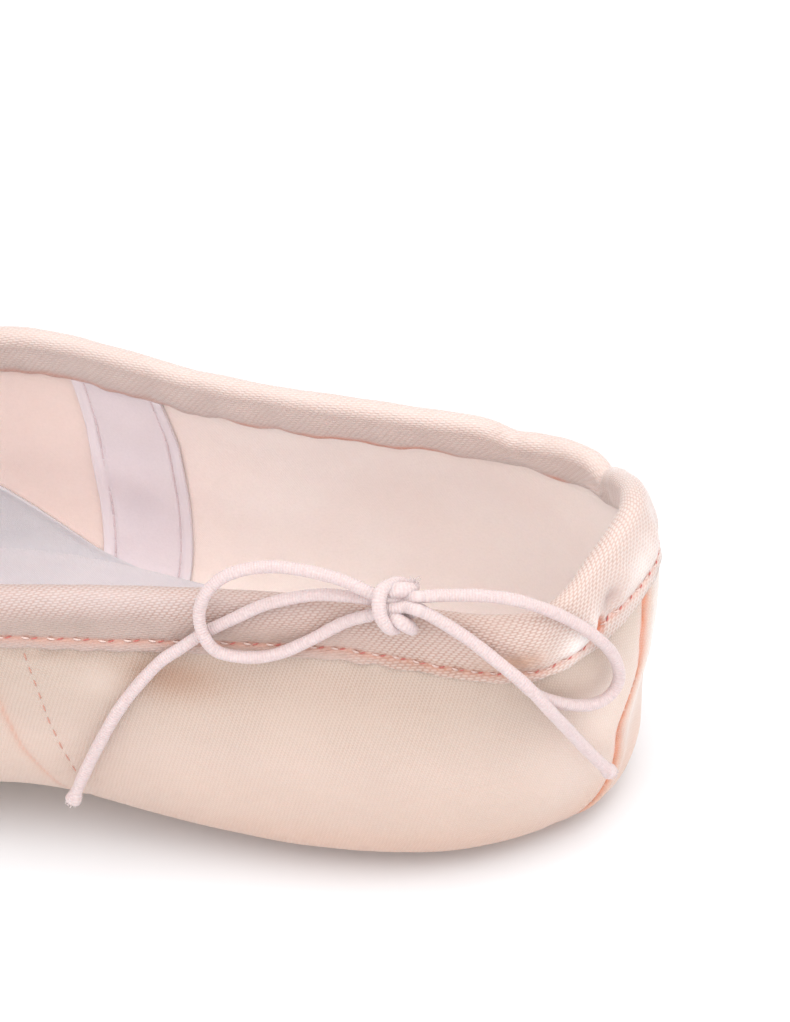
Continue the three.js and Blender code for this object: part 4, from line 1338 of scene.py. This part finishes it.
def build_knot():
    parts, n = [], 0

    def tube(points, radius, seed, flat=1.0, start=0.0):
        line, length = catmull(points, 0.11)
        s = np.linspace(0, 1, len(line))
        rad = np.interp(s, np.linspace(0, 1, len(radius)), radius) if np.ndim(radius) else np.full(len(line), radius)
        parts.append(cord_tube(line, rad, ring=22, seed=seed, ribs=0.018, start=start))
    R0 = CORD / 2
    g = facing
    ends = {k: (CORDS[k][0][0], CORDS[k][0][-1], CORDS[k][0]) for k in CORDS}

    def lead(p, q, inside, seed):
        """carries a strand on from p, in the direction q to p, to the points inside"""
        d = (p - q) / np.linalg.norm(p - q)
        tube([p - d * 0.7, p, p + d * 0.8] + inside, np.array([0.80, 0.91] + [1.0] * 11) * R0, seed)
    # the strands that run into the wrap from both sides
    L = ends["drawstring_loop_left"][2]
    lead(L[0], L[4], [g(-1.9, 1.0, 0.3), g(0.0, 0.9, 0.0), g(1.4, 0.7, -0.3)], 1)
    lead(L[-1], L[-5], [g(-2.0, -1.1, 0.2), g(-0.4, -0.9, -0.1), g(1.0, -1.0, -0.4)], 2)
    L = ends["drawstring_tail_left"][2]
    lead(L[0], L[4], [g(-2.2, 0.1, -1.2), g(-0.6, 0.1, -1.6), g(0.8, 0.2, -1.7)], 3)
    L = ends["drawstring_loop_right"][2]
    lead(L[0], L[4], [g(1.9, 1.1, 0.1), g(0.4, 0.9, -0.6), g(-0.8, 0.9, -0.9)], 4)
    lead(L[-1], L[-5], [g(2.0, -1.2, -1.4), g(0.6, -1.2, -1.6), g(-0.6, -1.1, -1.5)], 5)
    L = ends["drawstring_tail_right"][2]
    lead(L[0], L[4], [g(1.6, -0.25, 1.0), g(0.2, -0.45, 0.8), g(-1.2, -0.5, 0.4)], 6)
    # the wrap over the middle, wider than the cord because it is pulled flat
    tube([g(1.9, 2.9, -2.2), g(0.5, 3.35, -1.2), g(-0.75, 3.0, 0.35), g(-1.9, 2.3, 1.5), g(-2.35, 1.2, 2.0), g(-2.45, -0.2, 2.1),
          g(-2.2, -1.6, 1.9), g(-1.55, -2.8, 1.4), g(-0.8, -3.55, 0.4), g(0.1, -3.6, -1.2)],
         np.array([0.95, 1.0, 1.06, 1.10, 1.10, 1.10, 1.08, 1.04, 0.98, 0.92]), 7)
    # the second turn, behind the first, that shows over the strands
    tube([g(-1.5, 1.7, -0.2), g(-0.2, 2.15, 0.55), g(1.0, 2.25, 0.7), g(2.1, 2.3, 0.2), g(2.7, 2.7, -0.7), g(2.9, 2.9, -1.8)],
         np.array([1.1, 1.25, 1.34, 1.25, 1.0, 0.8]), 8)
    # the end that comes up out of the casing, below
    tube([g(-0.5, -1.7, 0.3), g(0.3, -2.2, 0.8), g(1.15, -2.75, 0.8), g(1.9, -3.2, 0.1), g(2.4, -3.5, -1.1), g(2.6, -3.7, -2.3)],
         np.array([1.0, 1.1, 1.16, 1.12, 1.02, 0.95]), 9)
    n, V, F, A = 0, [], [], []
    for v, f, a in parts:
        V.append(v)
        F.append(f + n)
        A.append(a)
        n += len(v)
    ob = make_mesh("bow_knot", np.concatenate(V), np.concatenate(F), np.concatenate(A), (ELASTIC,))
    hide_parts("drawstring_knot")
    return ob


KNOT = build_knot()


def knot_fray():
    """the cut end of the cord that stands up out of the knot"""
    bits = Bits()
    rng = np.random.default_rng(41)
    for i in range(64):
        q = rng.uniform(-1, 1, 3)
        p0 = facing(2.35 + 0.42 * q[0], 2.45 + 0.55 * q[1], -0.35 + 0.55 * q[2])
        d = facing(*(np.array([0.42, 0.85, 0.10]) + rng.normal(0, 0.26, 3))) - KNOT_AT
        side = facing(*rng.normal(0, 0.22, 3)) - KNOT_AT
        L = rng.uniform(0.7, 1.35)
        w = np.linspace(0, 1, 5)[:, None]
        bits.rod(p0 + d * w * L + side * w ** 2 * L, np.array([0.14, 0.14, 0.13, 0.11, 0.06]))
    return bits.mesh("knot_ends", ELASTIC)


KNOT_FRAY = knot_fray()

# ------------------------------------------------------------------ floor, light
floor = bpy.data.meshes.new("floor")
S = 6.0
floor.from_pydata([(-S, -S, 0), (S, -S, 0), (S, S, 0), (-S, S, 0)], [], [(0, 1, 2, 3)])
FLOOR = bpy.data.objects.new("floor", floor)
bpy.context.scene.collection.objects.link(FLOOR)
FLOOR.location.z = -0.0002
fm = bpy.data.materials.new("floor_white")
fm.use_nodes = True
fb = fm.node_tree.nodes["Principled BSDF"]
fb.inputs["Base Color"].default_value = (0.83, 0.85, 0.875, 1)
fb.inputs["Roughness"].default_value = 0.9
fb.inputs["Specular IOR Level"].default_value = 0.1
floor.materials.append(fm)

world = bpy.data.worlds.new("studio")
bpy.context.scene.world = world
world.use_nodes = True
bg = world.node_tree.nodes["Background"]
bg.inputs[0].default_value = (1.0, 0.985, 0.98, 1)
bg.inputs[1].default_value = 1.05


def lamp(name, at, to, size, power, colour=(1, 1, 1)):
    l = bpy.data.lights.new(name, "AREA")
    l.shape = "RECTANGLE"
    l.size, l.size_y = size
    l.energy = power
    l.color = colour
    o = bpy.data.objects.new(name, l)
    bpy.context.scene.collection.objects.link(o)
    d = np.array(to, float) - np.array(at, float)
    z = -d / np.linalg.norm(d)
    x = np.cross([0, 0, 1.0], z)
    x /= np.linalg.norm(x)
    y = np.cross(z, x)
    o.matrix_world = Matrix([[x[i], y[i], z[i], at[i]] for i in range(3)] + [[0, 0, 0, 1]])


lamp("top", (-0.04, 0.40, 1.22), (-0.05, 0.0, 0.03), (1.7, 1.2), 7.0)
lamp("front", (-0.05, 1.30, 0.80), (-0.02, 0.0, 0.03), (1.4, 0.6), 4.2)
lamp("heel_side", (-0.80, 0.10, 0.98), (-0.10, 0.0, 0.04), (1.0, 1.0), 3.1)
lamp("back", (-0.10, -0.7, 1.0), (-0.04, 0.0, 0.03), (1.3, 0.7), 1.6)

bpy.context.scene.view_settings.view_transform = "Standard"
bpy.context.scene.view_settings.look = "None"
bpy.context.scene.view_settings.exposure = 0.0
